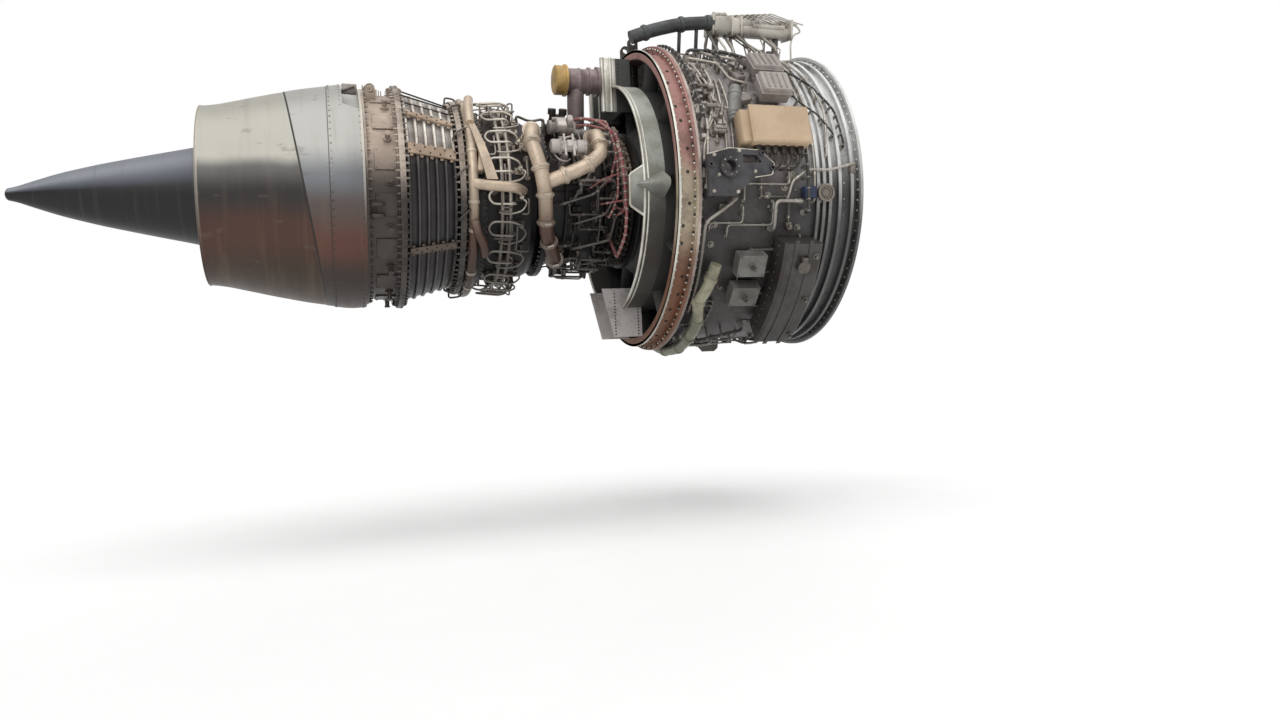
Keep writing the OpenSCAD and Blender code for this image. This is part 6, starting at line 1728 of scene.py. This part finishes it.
def valve_wires(draw):
    """Drawn wires from the case up to the valve, the loom along it and the one at its front end."""
    wires = Shell()
    for k in range(18):
        x, a = draw.uniform(-0.60, -0.12), draw.uniform(8, 26)
        low = CASE_R + (HOOP_RISE if x > X_HOOPS else 0.0)
        path = through((x, a, low), (x + draw.uniform(-0.05, 0.05), a + draw.uniform(-4, 4), low + 0.06),
                       (x + draw.uniform(-0.07, 0.07), VALVE_CLOCK + draw.uniform(-3, 3), 0.94))
        wires.tube(soften(path, 0.03), draw.choice([0.004, 0.006, 0.009]), 8, draw.uniform(0, 1))
        if k % 2:
            tall = draw.uniform(0.03, 0.07)
            wires.block(
                seat(x, a, low - 0.001), (0.035, 0.03, tall), (0.0005, 0, 0), 0.003, draw.uniform(0, 1))
    for k in range(9):
        y0 = -0.05 + 0.012 * k
        x0 = -0.5 + 0.03 * k
        stops = [(x0, 12 + y0 * 60, 1.0 - CASE_R), (x0 + 0.05, 12 + y0 * 50, 0.265 + 0.002 * k),
                 (x0 + 0.17, 12 + y0 * 30, 0.255), (x0 + 0.26, 13 + y0 * 70, 0.225)]
        wires.tube(route(stops, case_base, 0.05), 0.0035, 8, 0.7)
    stops = [(-0.16, 12, 0.235), (-0.08, 11, 0.25), (0.0, 12, 0.225), (0.006, 14, 0.19), (-0.05, 15, 0.17),
             (-0.07, 16, 0.12), (-0.07, 18, 0.0)]
    wires.tube(route(stops, case_base, 0.04), 0.005, 8, 0.7)
    wires.build("valve_wires", "fan_pipes", slot="pipe_steel")


def starter_pipe():
    """The starter's supply pipe round the bottom of the case, with collars on posts."""
    olive = Shell()
    port = 0.099
    stops = [
        (-0.788, 122, 0.06), (-0.812, 131, 0.066), (-0.842, 137, 0.066), (-0.8, 148, 0.06),
        (-0.79, 170, 0.06), (-0.81, 230, 0.064), (-0.8, 248, 0.08), (-0.76, 258, port), (-0.665, 258, port)]
    path = route(stops, fan_base, 0.06)
    olive.tube(path, 0.03, 20, 0.4)
    for i in range(4, len(path) - 4, 14):
        p = path[i]
        bead = mm((-12, 30), (-10, 36), (10, 36), (12, 30))
        olive.lathe(p, unit(path[i + 1] - p), bead, 20, 0.9)
        olive.block(seat(p[0], clock_of(p), float(fan_base(p[0]))), (0.02, 0.02, 0.034), edge=0.002)
    olive.build("starter_pipe", "olive_paint", slot="duct_olive", nodes=["starter_duct"])


class TURBOFAN_OT_top_duct(bpy.types.Operator):
    """Anti-ice duct over the fan case with its joints, and the clutter of the valve and its wires"""

    bl_idname = "turbofan.top_duct"
    bl_label = "Top duct and valve"

    def execute(self, context):
        draw = np.random.default_rng(9)
        anti_ice_duct()
        anti_ice_valve(draw)
        valve_wires(draw)
        starter_pipe()
        return {"FINISHED"}


def bracket_bolts():
    """Bolts, an edge bead and a hub's bolts on each side bracket."""
    bolts = Shell()
    spots = mm(
        (-870, 10), (-600, 70), (-548, 0), (-720, 78), (-850, 55), (-640, -20), (-735, -120), (-860, -120),
        (-830, -40))
    outline = mm((-880, 60), (-770, 92), (-607, 86), (-532, 20), (-548, -34), (-640, -48))
    for a, flip in ((90, 1), (270, -1)):
        place = seat(0, a, 0.9)
        bolts.heads([shift(place, x, y * flip)[0] for x, y in spots], place[1][2], 0.010, 0.012)
        bolts.tube(soften([shift(place, x, y * flip)[0] for x, y in outline], 0.01), 0.0028, 8)
        bolts.heads(dots(shift(place, -0.775, 0, 0.022), 0.041, 8), place[1][2], 0.0045, 0.005)
    bolts.build("bracket_bolts", "bright_bolts", slot="cap_steel")


def accessory_fittings():
    """Bolts and plugs on the tank, the igniter boxes and the gearbox with its pads."""
    fit = Shell()
    for a in (117, 132, 148):
        fit.drum(seat(-0.30, a, 0.938), mm((0, 16), (6, 16), (8, 10), (24, 10)), 12)
    for x, face in ((-0.26, 1), (-0.471, -1)):
        fit.heads(at(x, np.linspace(115, 150, 12), 0.86), [face, 0, 0], 0.005, 0.005)
    for a in (122, 134):
        place = seat(-0.605, a, 0.886)
        fit.drum(place, mm((0, 16), (12, 16), (13, 10), (30, 10)), 14)
        for dx in (-0.065, 0.065):
            for dy in (-0.05, 0.05):
                fit.heads(shift(place, dx, dy, -0.015)[0], place[1][2], 0.005, 0.006)
    for x, face in ((-0.3605, 1), (-0.4795, -1)):
        fit.heads(at(x, np.arange(206, 275, 3.0), 0.905), [face, 0, 0], 0.005, 0.006)
    for a, x, r in ((258, -0.63, 0.058), (236, -0.73, 0.08), (214, -0.575, 0.056)):
        place = seat(x, a, 0.881)
        rim = dots(place, r, 12, 0)
        fit.heads(rim, rim - place[0], 0.0045, 0.006)
    fit.build("accessory_fittings", "steel", slot="accessory_grey")


class TURBOFAN_OT_side_detail(bpy.types.Operator):
    """Bright bolts and edge strips of the side brackets, and fittings on the tank, gearbox and igniters"""

    bl_idname = "turbofan.side_detail"
    bl_label = "Brackets and accessories"

    def execute(self, context):
        bracket_bolts()
        accessory_fittings()
        return {"FINISHED"}


def fan_blade_set():
    """Each blade's sections as one closed skin, with its half of the mid-span shroud to either side."""
    count = 38
    f = np.linspace(0, 1, 18)
    z = FAN_HUB_R + (FAN_TIP_R - FAN_HUB_R) * f
    chord, turn, thick = 0.128 + 0.026 * f, np.radians(24 + 38 * f), 0.015 - 0.010 * f
    q = (1 - np.cos(np.linspace(0, math.pi, 9))) / 2
    camber = (0.1 - 0.06 * f)[:, None] * chord[:, None] * 4 * q * (1 - q)
    half = thick[:, None] / 2 * np.sqrt(np.maximum(4 * q * (1 - q), 0.02)) ** 1.3
    u = np.concatenate([q - 0.5, q[-2:0:-1] - 0.5])
    w = np.concatenate([camber + half, (camber - half)[:, -2:0:-1]], 1)
    c, s = np.cos(turn)[:, None], np.sin(turn)[:, None]
    x = chord[:, None] * u * c - w * s
    y = chord[:, None] * u * s + w * c
    ring = z[:, None]
    swing = np.where(f[:, None] == 0, 0.0, 1.0)
    local = np.stack([
        x, np.where(swing > 0, ring * np.sin(y / ring), y),
        np.where(swing > 0, ring * np.cos(y / ring), ring)], -1)
    shell = Shell()
    for k in range(count):
        axes = seat(0, 360 * k / count, 0)[1]
        shell.grid(local @ axes + at(X_FAN, 0, 0))
        mid = FAN_HUB_R + (FAN_TIP_R - FAN_HUB_R) * 0.62
        half_w = mid * math.tan(math.pi / count) - 0.0004
        shell.block((at(X_FAN, 0, 0), axes), (0.032, half_w * 2, 0.006), (0, 0, mid - 0.003), 0.0015)
    shell.build(
        "fan_blade_set", "blade_metal", body="low_spool", slot="blade_titanium", nodes=["fan_blades"])


def spinner_screws():
    """A ring of screw heads that lean forwards with the spinner's skirt."""
    nose = Shell()
    turn = (np.arange(24) + 0.5) * 15
    nose.heads(at(-0.118, turn, 0.2385), unit(at(0, turn, 1.0) + np.array([0.9, 0, 0])), 0.005, 0.003, 8)
    nose.build("spinner_screws", "steel", body="low_spool", slot="spinner_grey")


class TURBOFAN_OT_fan(bpy.types.Operator):
    """Fan blades: twisted, cambered sections lofted from the disk to the tip, with mid-span shrouds"""

    bl_idname = "turbofan.fan"
    bl_label = "Fan blades"

    def execute(self, context):
        fan_blade_set()
        spinner_screws()
        return {"FINISHED"}


class TURBOFAN_OT_finishes(bpy.types.Operator):
    """Gives each carried-over piece of the frame its finish"""

    bl_idname = "turbofan.finishes"
    bl_label = "Finishes"

    def execute(self, context):
        for kind, names in NODE_FINISHES.items():
            for name in names.split():
                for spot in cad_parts[name].material_slots:
                    spot.material = finish(kind)
        return {"FINISHED"}


def stage_world(scene, sky):
    """Even grey light, with plain white for the camera."""
    scene.world = world = bpy.data.worlds.new("stage_world")
    world.use_nodes = True
    tree = world.node_tree
    tree.nodes.clear()
    out, mixer, rays = (
        tree.nodes.new("ShaderNode" + kind) for kind in ("OutputWorld", "MixShader", "LightPath"))
    for spot, colour, strength in ((1, (1.0, 1.0, 1.0), 0.56), (2, sky, 1.0)):
        light = tree.nodes.new("ShaderNodeBackground")
        light.inputs["Color"].default_value = (*colour, 1.0)
        light.inputs["Strength"].default_value = strength
        tree.links.new(light.outputs[0], mixer.inputs[spot])
    tree.links.new(rays.outputs["Is Camera Ray"], mixer.inputs["Fac"])
    tree.links.new(mixer.outputs[0], out.inputs["Surface"])


def photo_camera(scene):
    """The view from starboard, aft of the middle and below the shaft: yaw, then pitch, then roll."""
    yaw, pitch, roll = 0.31338, 0.01955, -0.04778
    ahead = np.array([math.sin(yaw), math.cos(yaw), 0.0])
    right = np.array([math.cos(yaw), -math.sin(yaw), 0.0])
    up = np.array([0.0, 0.0, 1.0])
    ahead, up = rotated(ahead, up, pitch)
    right, up = rotated(right, up, roll)
    lens = bpy.data.cameras.new("photo_camera")
    lens.sensor_width = 36.0
    lens.lens = 958.755 / 1280 * 36.0
    lens.clip_end = 200.0
    holder = bpy.data.objects.new("photo_camera", lens)
    turn = Matrix((right, up, -ahead)).transposed().to_4x4()
    holder.matrix_world = Matrix.Translation((-2.638, -5.119, -0.997)) @ turn
    scene.collection.objects.link(holder)
    scene.camera = holder


class TURBOFAN_OT_stage(bpy.types.Operator):
    """Pale floor, white backdrop, soft lamps and the camera low on the starboard side"""

    bl_idname = "turbofan.stage"
    bl_label = "Stage"

    def execute(self, context):
        scene = context.scene
        colours = scene.turbofan_colours
        drop = -sizes().floor_drop
        mesh = bpy.data.meshes.new("floor")
        reach = 40.0
        mesh.from_pydata(
            [(-reach, -reach, drop), (reach, -reach, drop), (reach, reach, drop), (-reach, reach, drop)],
            [], [(0, 1, 2, 3)])
        floor = bpy.data.objects.new("floor", mesh)
        scene.collection.objects.link(floor)
        paint = Finish("floor_paint")
        grain = paint.noise(3.0, 3.0)
        tint = tuple(colours.floor)
        mesh.materials.append(paint.surface(
            paint.mix(grain.over(0.3, 0.7) * 0.15, tint, [c * 0.93 for c in tint]), grain * 0.2 + 0.6))
        stage_world(scene, tuple(colours.sky))
        for name, way, spread, power in (
                ("sky_light", (0.15, 0.35, -1.0), 70.0, 1.7),
                ("side_light", (0.35, 1.0, -0.45), 30.0, 0.75),
                ("far_light", (-0.4, -1.0, -0.6), 40.0, 0.5)):
            lamp = bpy.data.lights.new(name, "SUN")
            lamp.angle = math.radians(spread)
            lamp.energy = power
            holder = bpy.data.objects.new(name, lamp)
            holder.rotation_euler = Vector(way).to_track_quat("-Z", "Y").to_euler()
            scene.collection.objects.link(holder)
        photo_camera(scene)
        scene.view_settings.view_transform = "Standard"
        return {"FINISHED"}


OPERATORS = (
    TURBOFAN_OT_stage, TURBOFAN_OT_finishes, TURBOFAN_OT_nozzle, TURBOFAN_OT_plug, TURBOFAN_OT_turbine,
    TURBOFAN_OT_hot_section, TURBOFAN_OT_bleed, TURBOFAN_OT_compressor, TURBOFAN_OT_fan_duct,
    TURBOFAN_OT_fan_case, TURBOFAN_OT_boxes, TURBOFAN_OT_top_duct, TURBOFAN_OT_side_detail, TURBOFAN_OT_fan,
)


class TURBOFAN_PT_panel(bpy.types.Panel):
    """Lists the steps that dress the engine"""

    bl_idname = "TURBOFAN_PT_panel"
    bl_label = "Turbofan"
    bl_space_type = "VIEW_3D"
    bl_region_type = "UI"
    bl_category = "Turbofan"

    def draw(self, context):
        for group in (context.scene.turbofan_sizes, context.scene.turbofan_colours):
            for name in group.__annotations__:
                self.layout.prop(group, name)
        for operator in OPERATORS:
            self.layout.operator(operator.bl_idname)


CLASSES = (TurbofanSizes, TurbofanColours, *OPERATORS, TURBOFAN_PT_panel)


def register():
    """Registers the classes and hangs the sizes and colours on the scene."""
    for cls in CLASSES:
        bpy.utils.register_class(cls)
    bpy.types.Scene.turbofan_sizes = PointerProperty(type=TurbofanSizes)
    bpy.types.Scene.turbofan_colours = PointerProperty(type=TurbofanColours)


def unregister():
    """Takes the sizes, colours and classes away again."""
    del bpy.types.Scene.turbofan_colours
    del bpy.types.Scene.turbofan_sizes
    for cls in reversed(CLASSES):
        bpy.utils.unregister_class(cls)


def main():
    """Dresses the engine step by step."""
    register()
    for operator in OPERATORS:
        group, step = operator.bl_idname.split(".")
        getattr(getattr(bpy.ops, group), step)()


if __name__ == "__main__":
    main()
